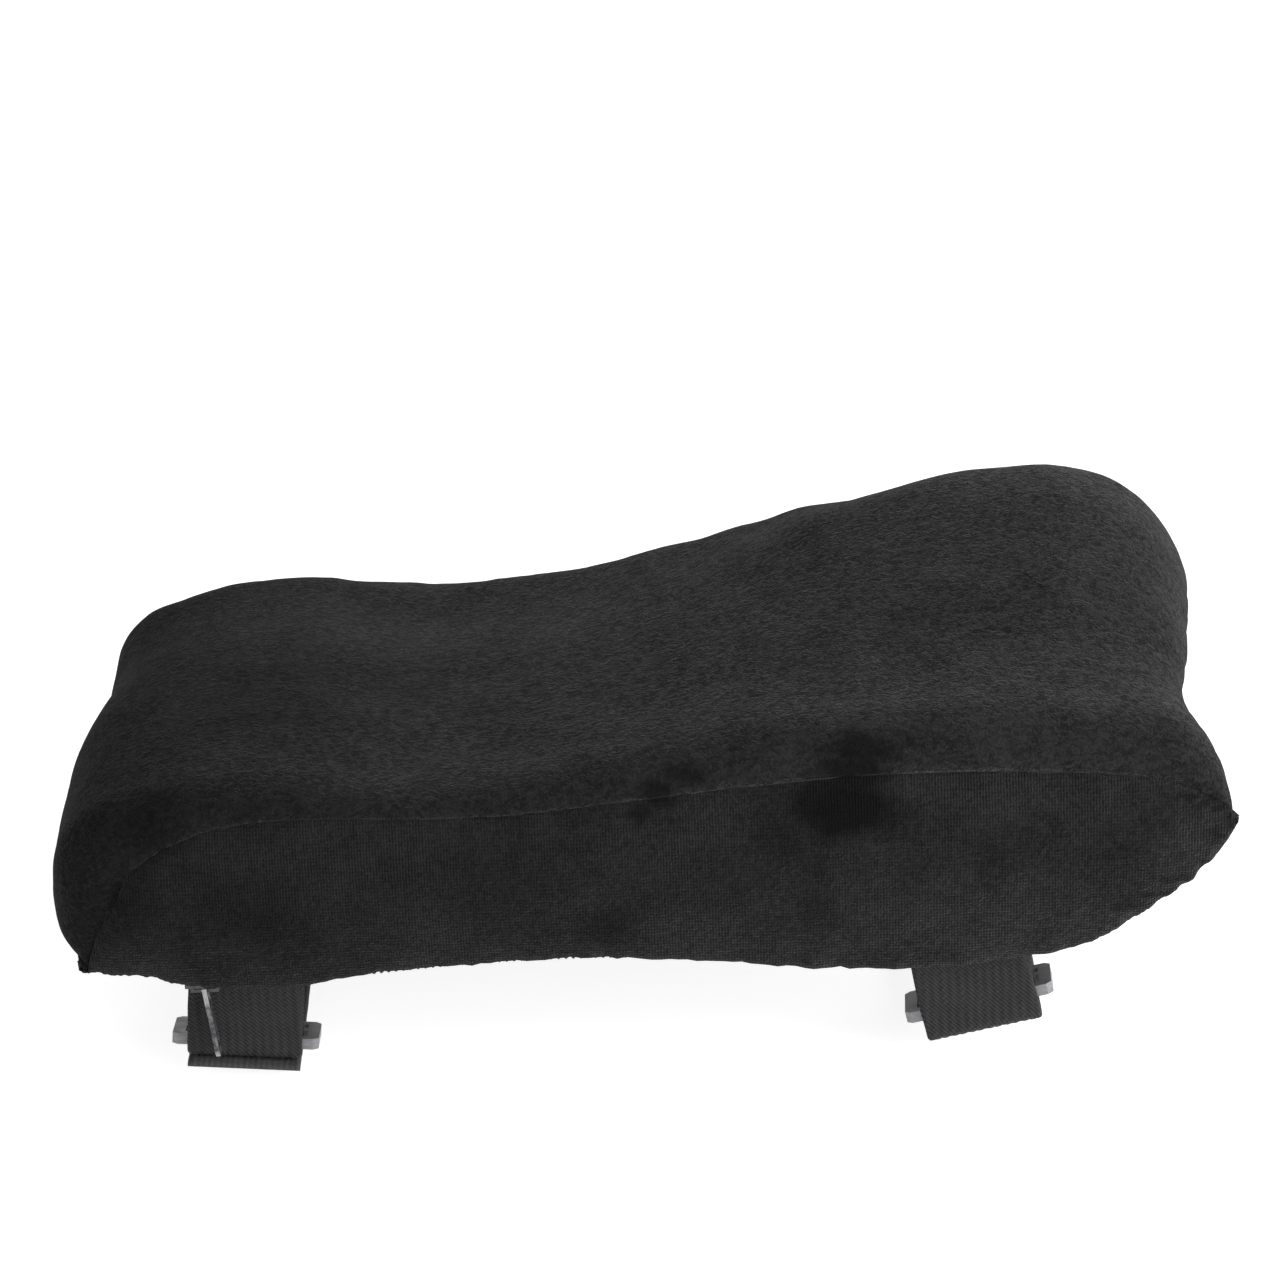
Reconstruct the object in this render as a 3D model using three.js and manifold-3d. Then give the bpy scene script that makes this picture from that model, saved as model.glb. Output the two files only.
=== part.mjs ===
// Strap-on chair armrest pad: a contoured foam block in a zipped velour cover,
// with two webbing-and-elastic slings underneath that hold it to a chair's armrest.
//
// Frame: millimetres, +Z up. X runs along the pad, from the low rounded wrist end (-X)
// to the raised elbow end (+X). Y runs across it; the zip is along the -Y bottom edge.
// z = 0 is the flat underside of the cover.

import * as THREE from "three";
import { mergeVertices } from "three/addons/utils/BufferGeometryUtils.js";
import Module from "manifold-3d";

// ---------------------------------------------------------------- driving dimensions
const HALF_W = 58; // half of the width, at the seams of the side panels
const PANEL_T = 1.6; // velour bonded to a thin scrim
const GAP = 0.3; // clearance between neighbouring pieces
const ROLL = 12; // how far in from the side seam the top panel takes to roll over
const BULGE = 3.0; // pillowing of the side panels
const FLAT_HALF = 44; // half width of the flat underside
const ZIP_Y = -53.6; // centre line of the zip
const ZIP_Z = 2.6; // height of the recess that holds the zip
const ZIP_X0 = -104; // the zip's ends
const ZIP_X1 = 81;
const STRAP_W = 25; // webbing and elastic
const WEB_T = 1.5;
const BAND_T = 1.2;
const FRONT_X = -88.0; // centre of the strap at the wrist end
const REAR_X = 68.6; // centre of the strap at the elbow end
const FRONT_TILT = -5; // degrees that each hanging strap sits off square
const REAR_TILT = 12;
const GLIDE_L = 32; // tri-glide buckle, along X
const GLIDE_T = 2.4;
const GLIDE_BARS = [
  [0, 2.4],
  [7.0, 9.1],
  [11.6, 14.0],
]; // the three bars, as depths from the near edge
const GLIDE_Y = -41.3; // middle of the buckle

// Stations along the pad. S is the seam between top and side panel, C the highest line of
// the top panel, B the bottom seam of the side panel, U the middle of the underside.
const S = [
  [-117.3, 6.5], [-116.8, 10.7], [-115.6, 17.6], [-113.2, 22.8], [-110.2, 28.7], [-105.7, 32.5],
  [-101.2, 35.5], [-92.9, 38.9], [-83.5, 40.7], [-74, 41.2], [-63.3, 41.0], [-46.7, 40.4],
  [-30, 40.6], [-13, 42.0], [3.2, 43.7], [19.8, 45.4], [36.4, 46.9], [52.9, 47.6],
  [69.4, 47.7], [86, 46.8], [94, 46.2], [102.6, 45.2], [110.9, 43.8], [115.5, 41.8],
  [119.4, 39.4], [122.3, 37.0], [124.7, 34.6],
];
const C = [
  [-118.4, 5.6], [-124.0, 10], [-127.2, 17], [-128.0, 25], [-125.5, 33], [-119.5, 39.6],
  [-111.5, 44.4], [-99, 47.4], [-86.5, 48.4], [-75, 48.2], [-63.3, 46.8], [-46.7, 45.8],
  [-30, 47.4], [-13, 50.6], [3.2, 54.6], [19.8, 59.6], [36.4, 65.4], [52.9, 71.0],
  [69.4, 75.6], [86, 78.0], [95, 77.6], [104, 75], [112, 69.5], [118, 61.5],
  [121.6, 52], [122.5, 42.5], [121.5, 33.6],
];
const B = [
  [-117.3, 5.6], [-116, 5.3], [-113, 4.8], [-110.5, 4.5], [-107, 3.7], [-104.2, 2.8],
  [-100, 1.4], [-92.9, 0.4], [-83, 0], [-74, 0.5], [-63.3, 2.6], [-46.7, 4.1],
  [-30, 5.0], [-13, 5.2], [3.2, 4.5], [19.8, 2.9], [36.4, 0.9], [52.9, 0.1],
  [69.4, 0.8], [83, 2.3], [92, 4.2], [98.5, 7.2], [104, 11.0], [110, 15.4],
  [115.5, 20.2], [120.5, 26.2], [124.5, 33.6],
];
const U = [
  5.2, 4.4, 3.1, 2.2, 1.2, 0.4, 0, 0, 0, 0, 0, 0, 0, 0, 0, 0, 0, 0, 0, 0.8, 2.4, 5.0, 8.8, 13.0,
  18.0, 24.6, 32.8,
];
// Share of the rise taken by the roll over the side seam, and how far the crest sits off centre.
const ROLL_H = [
  0, 1.4, 3.0, 4.5, 6.0, 7.0, 7.6, 7.2, 6.2, 5.4, 4.6, 4.6, 5.6, 7.0, 8.2, 9.2, 10.0, 10.6,
  11.0, 11.2, 11.0, 10.6, 9.6, 8.0, 5.4, 2.6, 0,
];
const CREST_Y = [
  0, 0, 0, 0, 0, 0, 0, 0, 0, 0, 0, 0, 2, 5, 9, 13, 17, 20, 22, 23, 23, 22, 19, 15, 10, 5, 0,
];
const N = S.length - 1;

// ---------------------------------------------------------------- curves
function cr(a, b, c, d, t) {
  return (
    0.5 *
    (2 * b + (c - a) * t + (2 * a - 5 * b + 4 * c - d) * t * t + (3 * b - a - 3 * c + d) * t * t * t)
  );
}
function at(table, u) {
  const i = Math.min(Math.floor(u), N - 1);
  const t = u - i;
  const g = (k) => table[Math.min(Math.max(k, 0), N)];
  if (Array.isArray(table[0]))
    return [0, 1].map((k) => cr(g(i - 1)[k], g(i)[k], g(i + 1)[k], g(i + 2)[k], t));
  return cr(g(i - 1), g(i), g(i + 1), g(i + 2), t);
}
function clamp(v, a, b) {
  return Math.min(Math.max(v, a), b);
}
function smooth(a, b, v) {
  const t = clamp((v - a) / (b - a), 0, 1);
  return t * t * (3 - 2 * t);
}
// quarter ellipse: 0 at the seam, 1 at depth w
function quarter(d, w) {
  const t = clamp(1 - d / w, 0, 1);
  return Math.sqrt(1 - t * t);
}

// Departures from a symmetrical loft. The far corner of the wrist end is cut in, the far long
// edge dips at the waist and rises beside the hump, the elbow end is waisted between the hump
// and the near shoulder, and the wrist end is full at its foot.
const FAR_Z = [
  [-122, -0.8], [-110, -2.2], [-100, -2.4], [-93, -2.4], [-76, -1.9], [-60, -2.7], [-41, -3.4], [-15, -3.5], [12, -1.8],
  [25, 0.2], [39, 2.3], [66, 2.1], [93, 0.7], [111, 0.8], [125, 0.4],
];
const END_X = [
  [-60, 1.0], [-54, 1.8], [-50, 1.5], [-45, 0.4], [-40, -1.3], [-35, -3.0], [-29, -4.0], [-23, -4.0],
  [-17, -2.8], [-11, -1.8], [-4, -1.4], [4, -0.5], [12, 0.3], [24, 1.3], [35, 1.5], [50, 0.6], [60, 0],
];
const END_LOW = [
  [-60, 0], [-40, 0], [-32, -0.5], [-24, -2.4], [-14, -4.6], [-4, -5.0], [12, -4.6], [25, -3.6], [40, -2.2], [60, -1.2],
];
function along(table, v) {
  if (v <= table[0][0]) return table[0][1];
  for (let i = 1; i < table.length; i++)
    if (v <= table[i][0]) {
      const t = smooth(table[i - 1][0], table[i][0], v);
      return table[i - 1][1] + (table[i][1] - table[i - 1][1]) * t;
    }
  return table[table.length - 1][1];
}
function shaped(p) {
  const { x, y, z } = p;
  const wrist = 1 - smooth(-122, -86, x);
  const dx =
    5.2 * wrist * smooth(-12, 27, y) * smooth(8, 26, z) +
    along(END_X, y) * smooth(84, 116, x) * smooth(12, 30, z) +
    along(END_LOW, y) * smooth(94, 116, x) * smooth(6, 22, z) * (1 - smooth(38, 52, z)) -
    3.4 * (1 - smooth(-118, -104, x)) * (1 - smooth(6, 24, z)) * (1 - smooth(0, 40, y));
  const dz = along(FAR_Z, x) * smooth(0, 38, y) * smooth(18, 38, z);
  return new THREE.Vector3(x + dx, y, z + dz);
}

// Outer face of the top panel; y in [-HALF_W, HALF_W].
function topPoint(u, y) {
  const s = at(S, u);
  const c = at(C, u);
  const d = HALF_W - Math.abs(y);
  const hr = Math.min(at(ROLL_H, u), Math.max(c[1] - s[1], 0));
  const crest = at(CREST_Y, u);
  const near = crest + HALF_W - 4;
  const far = HALF_W - 3 - crest;
  const t = y < crest ? (crest - y) / near : (y - crest) / far;
  const bell = t >= 1 ? 0 : 0.5 * (1 + Math.cos(Math.PI * Math.pow(t, y < crest ? 0.95 : 1.15)));
  const depthX = 12 + 26 * smooth(19, 23, u);
  return shaped(new THREE.Vector3(
    s[0] + (c[0] - s[0]) * quarter(d, depthX),
    y,
    s[1] + hr * quarter(d, ROLL) + (c[1] - s[1] - hr) * bell,
  ));
}
// Outer face of the underside.
function bottomPoint(u, y) {
  const b = at(B, u);
  const m = at(U, u);
  const a = Math.abs(y);
  const recess = m + ZIP_Z * smooth(0, 1, (a - FLAT_HALF) / 7) * smooth(3, 7, u) * (1 - smooth(18, 20.5, u));
  const z = recess + (b[1] - recess) * smooth(HALF_W - 9, HALF_W - 0.5, a);
  return shaped(new THREE.Vector3(b[0], y, a <= FLAT_HALF ? m : z));
}
// Outer face of a side panel; v = 0 at the bottom seam, 1 at the top seam.
function sidePoint(u, v, sign) {
  const s = at(S, u);
  const b = at(B, u);
  const puff = BULGE * Math.sin(Math.PI * v) ** 0.8 * smooth(0, 4, u) * smooth(0, 4, N - u);
  return shaped(new THREE.Vector3(
    b[0] + (s[0] - b[0]) * v,
    sign * (HALF_W + puff),
    b[1] + (s[1] - b[1]) * v,
  ));
}

// ---------------------------------------------------------------- solids
const wasm = await Module();
wasm.setup();

function toManifold(geometry) {
  const g = new THREE.BufferGeometry().setAttribute(
    "position",
    (geometry.index ? geometry.toNonIndexed() : geometry).getAttribute("position").clone(),
  );
  const m = mergeVertices(g, 1e-4);
  return new wasm.Manifold(
    new wasm.Mesh({
      numProp: 3,
      vertProperties: m.attributes.position.array,
      triVerts: new Uint32Array(m.index.array),
    }),
  );
}
function toGeometry(solid) {
  const m = solid.getMesh();
  const pos = new Float32Array(m.numVert * 3);
  for (let i = 0; i < m.numVert; i++)
    pos.set(m.vertProperties.subarray(i * m.numProp, i * m.numProp + 3), i * 3);
  const g = new THREE.BufferGeometry();
  g.setAttribute("position", new THREE.BufferAttribute(pos, 3));
  g.setIndex(new THREE.BufferAttribute(new Uint32Array(m.triVerts), 1));
  g.computeVertexNormals();
  return g;
}
function fromTriangles(points, tris) {
  const g = new THREE.BufferGeometry();
  g.setAttribute("position", new THREE.Float32BufferAttribute(points.flatMap((p) => [p.x, p.y, p.z]), 3));
  g.setIndex(tris);
  return g;
}
// A closed sheet: the outer face is fn over a grid, the inner face lies `t` behind it.
function sheet(fn, us, vs, t, lift = 0) {
  const nu = us.length;
  const nv = vs.length;
  const outer = [];
  const inner = [];
  const e = 1e-3;
  const rangeU = us[nu - 1] - us[0];
  const rangeV = vs[nv - 1] - vs[0];
  for (const u of us)
    for (const v of vs) {
      const u0 = Math.max(us[0], u - e * rangeU);
      const u1 = Math.min(us[nu - 1], u + e * rangeU);
      const v0 = Math.max(vs[0], v - e * rangeV);
      const v1 = Math.min(vs[nv - 1], v + e * rangeV);
      const du = fn(u1, v).sub(fn(u0, v));
      const dv = fn(u, v1).sub(fn(u, v0));
      const n = du.cross(dv).normalize();
      const p = fn(u, v);
      outer.push(p.clone().addScaledVector(n, lift));
      inner.push(p.clone().addScaledVector(n, -t));
    }
  const pts = outer.concat(inner);
  const k = outer.length;
  const tris = [];
  const id = (i, j) => i * nv + j;
  for (let i = 0; i < nu - 1; i++)
    for (let j = 0; j < nv - 1; j++) {
      const a = id(i, j), b = id(i + 1, j), c = id(i + 1, j + 1), d = id(i, j + 1);
      tris.push(a, b, c, a, c, d);
      tris.push(k + a, k + c, k + b, k + a, k + d, k + c);
    }
  const rim = [];
  for (let i = 0; i < nu - 1; i++) rim.push([id(i, 0), id(i + 1, 0)]);
  for (let j = 0; j < nv - 1; j++) rim.push([id(nu - 1, j), id(nu - 1, j + 1)]);
  for (let i = nu - 1; i > 0; i--) rim.push([id(i, nv - 1), id(i - 1, nv - 1)]);
  for (let j = nv - 1; j > 0; j--) rim.push([id(0, j), id(0, j - 1)]);
  for (const [a, b] of rim) tris.push(a, k + a, k + b, a, k + b, b);
  return fromTriangles(pts, tris);
}
function spread(a, b, n) {
  return Array.from({ length: n + 1 }, (_, i) => a + ((b - a) * i) / n);
}
// Stretch of parameter values across the pad, closer together at both rolled edges.
function across(limit) {
  const half = [0, 0.22, 0.42, 0.6, 0.74, 0.84, 0.91, 0.955, 0.985, 1].map((t) => t * limit);
  return half.slice(1).reverse().map((v) => -v).concat(half);
}
function solidBox(x0, x1, y0, y1, z0, z1) {
  const g = new THREE.BoxGeometry(x1 - x0, y1 - y0, z1 - z0);
  g.translate((x0 + x1) / 2, (y0 + y1) / 2, (z0 + z1) / 2);
  return toManifold(g);
}
// A prism along X from an outline in the YZ plane.
function prismX(outline, x0, x1) {
  const shape = new THREE.Shape(outline.map(([y, z]) => new THREE.Vector2(y, z)));
  const g = new THREE.ExtrudeGeometry(shape, { depth: x1 - x0, bevelEnabled: false, curveSegments: 4 });
  const m = new THREE.Matrix4().set(0, 0, 1, x0, 1, 0, 0, 0, 0, 1, 0, 0, 0, 0, 0, 1);
  g.applyMatrix4(m);
  return g;
}
// A flat band that follows a centre line in the YZ plane.
function bandOutline(line, t) {
  const left = [];
  const right = [];
  for (let i = 0; i < line.length; i++) {
    const a = line[Math.max(i - 1, 0)];
    const b = line[Math.min(i + 1, line.length - 1)];
    const d1 = [line[i][0] - a[0], line[i][1] - a[1]];
    const d2 = [b[0] - line[i][0], b[1] - line[i][1]];
    const n1 = Math.hypot(...d1) || 1;
    const n2 = Math.hypot(...d2) || 1;
    let tx = (i ? d1[0] / n1 : 0) + (i < line.length - 1 ? d2[0] / n2 : 0);
    let ty = (i ? d1[1] / n1 : 0) + (i < line.length - 1 ? d2[1] / n2 : 0);
    const n = Math.hypot(tx, ty);
    tx /= n;
    ty /= n;
    const mitre = i && i < line.length - 1 ? 1 / Math.max(0.6, (tx * d1[0] + ty * d1[1]) / n1) : 1;
    left.push([line[i][0] - (ty * t * mitre) / 2, line[i][1] + (tx * t * mitre) / 2]);
    right.push([line[i][0] + (ty * t * mitre) / 2, line[i][1] - (tx * t * mitre) / 2]);
  }
  return left.concat(right.reverse());
}
function arc(cy, cz, r, a0, a1, n) {
  return spread(a0, a1, n).map((a) => {
    const t = THREE.MathUtils.degToRad(a);
    return [cy + r * Math.cos(t), cz + r * Math.sin(t)];
  });
}
function line(a, b, n) {
  return spread(0, 1, n).map((t) => [a[0] + (b[0] - a[0]) * t, a[1] + (b[1] - a[1]) * t]);
}
// Everything that hangs under the pad sits a few degrees off square, turned about its sewn edge.
function hangTilted(geometry, xc, degrees) {
  const k = Math.tan(THREE.MathUtils.degToRad(degrees));
  const p = geometry.getAttribute("position");
  for (let i = 0; i < p.count; i++) {
    const x = p.getX(i);
    const z = p.getZ(i);
    const drop = Math.max(0, -z - 2.2);
    p.setX(i, x + k * drop);
    p.setZ(i, z + k * (x - xc) * clamp(drop / 8, 0, 1));
  }
  return geometry;
}

// ---------------------------------------------------------------- materials
const MATERIALS = {
  velour: { color: 0x1b1b1d, roughness: 0.95, metalness: 0 },
  foam: { color: 0xd8d2c2, roughness: 0.9, metalness: 0 },
  tape: { color: 0x161617, roughness: 0.9, metalness: 0 },
  coil: { color: 0x202022, roughness: 0.5, metalness: 0 },
  webbing: { color: 0x141415, roughness: 0.85, metalness: 0 },
  elastic: { color: 0x1a1a1c, roughness: 0.9, metalness: 0 },
  thread: { color: 0x0e0e0f, roughness: 0.8, metalness: 0 },
  plastic: { color: 0x26272a, roughness: 0.45, metalness: 0 },
  metal: { color: 0x8f9195, roughness: 0.35, metalness: 0.8 },
};
const group = new THREE.Group();
group.name = "armrest_pad";
function add(name, geometry, material) {
  const mesh = new THREE.Mesh(geometry, new THREE.MeshStandardMaterial(MATERIALS[material]));
  mesh.name = name;
  group.add(mesh);
  return mesh;
}

// ---------------------------------------------------------------- cover and foam
const topUs = [0.12, 0.6, ...spread(1, 8, 9), ...spread(9, 18, 8), ...spread(18.9, 25, 9), 25.5, 25.85];
const topYs = across(HALF_W - 0.03);
add("top_panel", sheet((u, y) => topPoint(u, y), topUs, topYs, PANEL_T), "velour");
const topSkin = toManifold(sheet((u, y) => topPoint(u, y), topUs, topYs, PANEL_T + GAP, GAP));
const topCut = topSkin.add(topSkin.translate([0, 0.2, -GAP - 0.1])).add(topSkin.translate([0.35, -0.2, -0.3])).add(topSkin.translate([-0.35, 0, -0.3]));

function largest(solid) {
  return solid.decompose().sort((a, b) => b.volume() - a.volume())[0];
}
const sideUs = [1.7, 2.4, 3.4, 4.6, 5.8, 7, 8.5, 10, 11.5, 13, 14.5, 16, 17.5, 19, 20.2, 21.4, 22.6, 23.8, 24.7];
const sideUsFar = sideUs.map((u) => N - u).reverse();
const sideVs = [0.015, 0.12, 0.32, 0.5, 0.68, 0.88, 0.97];
const nearFace = (u, v) => sidePoint(u, v, -1);
const farFace = (u, v) => sidePoint(N - u, v, 1);
const nearCut = toManifold(sheet(nearFace, sideUs, sideVs, PANEL_T + GAP, GAP));
const farCut = toManifold(sheet(farFace, sideUsFar, sideVs, PANEL_T + GAP, GAP));
add("side_panel_near", toGeometry(largest(toManifold(sheet(nearFace, sideUs, sideVs, PANEL_T)).subtract(topCut))), "velour");
add("side_panel_far", toGeometry(largest(toManifold(sheet(farFace, sideUsFar, sideVs, PANEL_T)).subtract(topCut))), "velour");

const bottomUs = [1.4, 2.4, 3.4, 4.6, 6, 7, 8, 10, 12, 13.5, 15, 17, 18, 19, 20, 21, 22, 23, 24, 24.8, 25.3];
const halfBottom = [FLAT_HALF, 46, 48.5, 51, 53.5, HALF_W - PANEL_T - GAP - 0.2];
const bottomYs = halfBottom.map((v) => -v).reverse().concat([-22, 0, 22], halfBottom);
const underFace = (u, y) => bottomPoint(u, -y);
const zipSlot = solidBox(ZIP_X0 - 1.5, ZIP_X1 + 1.5, -70, ZIP_Y + 3.2, -5, 12);
const underCut = toManifold(sheet(underFace, bottomUs, bottomYs, PANEL_T + GAP, GAP));
const under = toManifold(sheet(underFace, bottomUs, bottomYs, PANEL_T));
add("bottom_panel", toGeometry(largest(under.subtract(zipSlot).subtract(topCut).subtract(nearCut).subtract(farCut))), "velour");

// The foam block: the same contour, set in behind the cover.
function foamCore() {
  const us = [1.6, 2.4, 3.2, 4.2, 5.2, 6.4, 8, 10, 12, 14, 15.5, 17, 18.5, 20, 21, 22, 23, 24, 24.8];
  const ys = [0, 0.3, 0.55, 0.75, 0.88, 0.96, 1].map((t) => t * HALF_W);
  const row = ys.slice(1).reverse().map((v) => -v).concat(ys);
  const rings = us.map((u) => {
    const ring = [];
    const kx = (x) => (x + 1) * 0.968 - 1;
    const ky = 0.945;
    for (const y of row) {
      const p = topPoint(u, y);
      ring.push(new THREE.Vector3(kx(p.x), y * ky, p.z - 3.4));
    }
    for (const y of row.slice().reverse()) {
      const p = bottomPoint(u, y);
      ring.push(new THREE.Vector3(kx(p.x), y * ky, p.z + 2.6));
    }
    return ring;
  });
  const n = rings[0].length;
  const pts = rings.flat();
  const tris = [];
  for (let i = 0; i < rings.length - 1; i++)
    for (let j = 0; j < n; j++) {
      const a = i * n + j, b = i * n + ((j + 1) % n), c = (i + 1) * n + ((j + 1) % n), d = (i + 1) * n + j;
      tris.push(a, c, b, a, d, c);
    }
  for (const [k, flip] of [[0, false], [rings.length - 1, true]]) {
    const base = k * n;
    for (let j = 0; j < n / 2 - 1; j++) {
      const a = base + j, b = base + j + 1, c = base + n - 2 - j, d = base + n - 1 - j;
      if (flip) tris.push(a, d, c, a, c, b);
      else tris.push(a, c, d, a, b, c);
    }
  }
  let solid = toManifold(fromTriangles(pts, tris));
  solid = solid.subtract(solidBox(ZIP_X0 - 4, ZIP_X1 + 4, -70, ZIP_Y + 4.4, -5, 6.2));
  for (const cut of [topCut, nearCut, farCut, underCut]) solid = largest(solid.subtract(cut));
  return solid;
}
add("foam_core", toGeometry(foamCore()), "foam");

// ---------------------------------------------------------------- zip
const TAPE_Z0 = 2.75;
const TAPE_Z1 = 3.45;
const coilTop = TAPE_Z0 - 0.3;
add("zip_tape_outer", toGeometry(solidBox(ZIP_X0, ZIP_X1, -55.9, -54.2, TAPE_Z0, TAPE_Z1)), "tape");
add("zip_tape_inner", toGeometry(solidBox(ZIP_X0, ZIP_X1, -53.0, -50.8, TAPE_Z0, TAPE_Z1)), "tape");
function coil(y0, y1, phase) {
  const pitch = 6;
  const x0 = ZIP_X0 + 3;
  const x1 = ZIP_X1 - 3;
  const low = 0.95;
  const high = 1.35;
  const pts = [[x0, coilTop], [x0, high]];
  for (let x = x0 + 1 + phase; x + 3.2 < x1; x += pitch)
    pts.push([x, high], [x + 0.5, low], [x + 2.5, low], [x + 3, high]);
  pts.push([x1, high], [x1, coilTop]);
  const shape = new THREE.Shape(pts.map(([x, z]) => new THREE.Vector2(x, z)));
  const g = new THREE.ExtrudeGeometry(shape, { depth: y1 - y0, bevelEnabled: false });
  // outline (x, z), extruded along -Y
  g.applyMatrix4(new THREE.Matrix4().set(1, 0, 0, 0, 0, 0, -1, y1, 0, 1, 0, 0, 0, 0, 0, 1));
  return g;
}
add("zip_coil_outer", coil(-55.4, -54.2, 0), "coil");
add("zip_coil_inner", coil(-53.0, -51.8, 3), "coil");
add("zip_top_stop", toGeometry(solidBox(ZIP_X0 + 0.6, ZIP_X0 + 2.6, -55.2, -52.0, 1.0, TAPE_Z0 - 0.3)), "metal");
add("zip_bottom_stop", toGeometry(solidBox(ZIP_X1 - 2.6, ZIP_X1 - 0.6, -55.2, -52.0, 1.0, TAPE_Z0 - 0.3)), "metal");

const SLIDER_X = -96.6;
function zipSlider() {
  const x0 = SLIDER_X - 4;
  const x1 = SLIDER_X + 4;
  const y0 = ZIP_Y - 2.4;
  const y1 = ZIP_Y + 2.4;
  const parts = [
    solidBox(x0, x1, y0, y1, -0.7, 0.55),
    solidBox(x0 + 0.6, x1 - 0.6, y0 + 0.2, y1 - 0.2, TAPE_Z1 + 0.35, TAPE_Z1 + 1.3),
    solidBox(x0 + 1, x1 - 3.4, ZIP_Y - 0.3, ZIP_Y + 0.3, 0.4, TAPE_Z1 + 0.5),
    solidBox(SLIDER_X - 3.1, SLIDER_X - 2.3, ZIP_Y - 0.5, ZIP_Y + 0.5, -2.7, -0.6),
    solidBox(SLIDER_X + 2.3, SLIDER_X + 3.1, ZIP_Y - 0.5, ZIP_Y + 0.5, -2.7, -0.6),
    solidBox(SLIDER_X - 3.1, SLIDER_X + 3.1, ZIP_Y - 0.5, ZIP_Y + 0.5, -2.8, -2.05),
  ];
  return parts.reduce((a, b) => a.add(b));
}
add("zip_slider", toGeometry(zipSlider()), "metal");

function zipPull() {
  const half = 1.8;
  const shape = new THREE.Shape([
    new THREE.Vector2(-half, -0.35), new THREE.Vector2(-half + 0.3, 0), new THREE.Vector2(half - 0.3, 0), new THREE.Vector2(half, -0.35),
    new THREE.Vector2(half, -5.6), new THREE.Vector2(half - 0.4, -8), new THREE.Vector2(half - 0.1, -16.8), new THREE.Vector2(half - 0.7, -17.9),
    new THREE.Vector2(-half + 0.7, -17.9), new THREE.Vector2(-half + 0.1, -16.8), new THREE.Vector2(-half + 0.4, -8), new THREE.Vector2(-half, -5.6),
  ]);
  shape.holes.push(new THREE.Path([[-1, -0.75], [-1, -5], [1, -5], [1, -0.75]].map((p) => new THREE.Vector2(...p))));
  shape.holes.push(new THREE.Path([[-0.7, -13.4], [-0.7, -16.1], [0.7, -16.1], [0.7, -13.4]].map((p) => new THREE.Vector2(...p))));
  const g = new THREE.ExtrudeGeometry(shape, { depth: 1.0, bevelEnabled: false });
  // outline (y, z), thickness along X
  g.applyMatrix4(new THREE.Matrix4().set(0, 0, 1, -0.5, 1, 0, 0, 0, 0, 1, 0, 0.4, 0, 0, 0, 1));
  g.rotateY(THREE.MathUtils.degToRad(-6));
  g.translate(SLIDER_X, ZIP_Y, -1.4);
  return g;
}
add("zip_pull", zipPull(), "metal");

// ---------------------------------------------------------------- slings
const midS = GLIDE_BARS[2][1] / 2;

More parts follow.
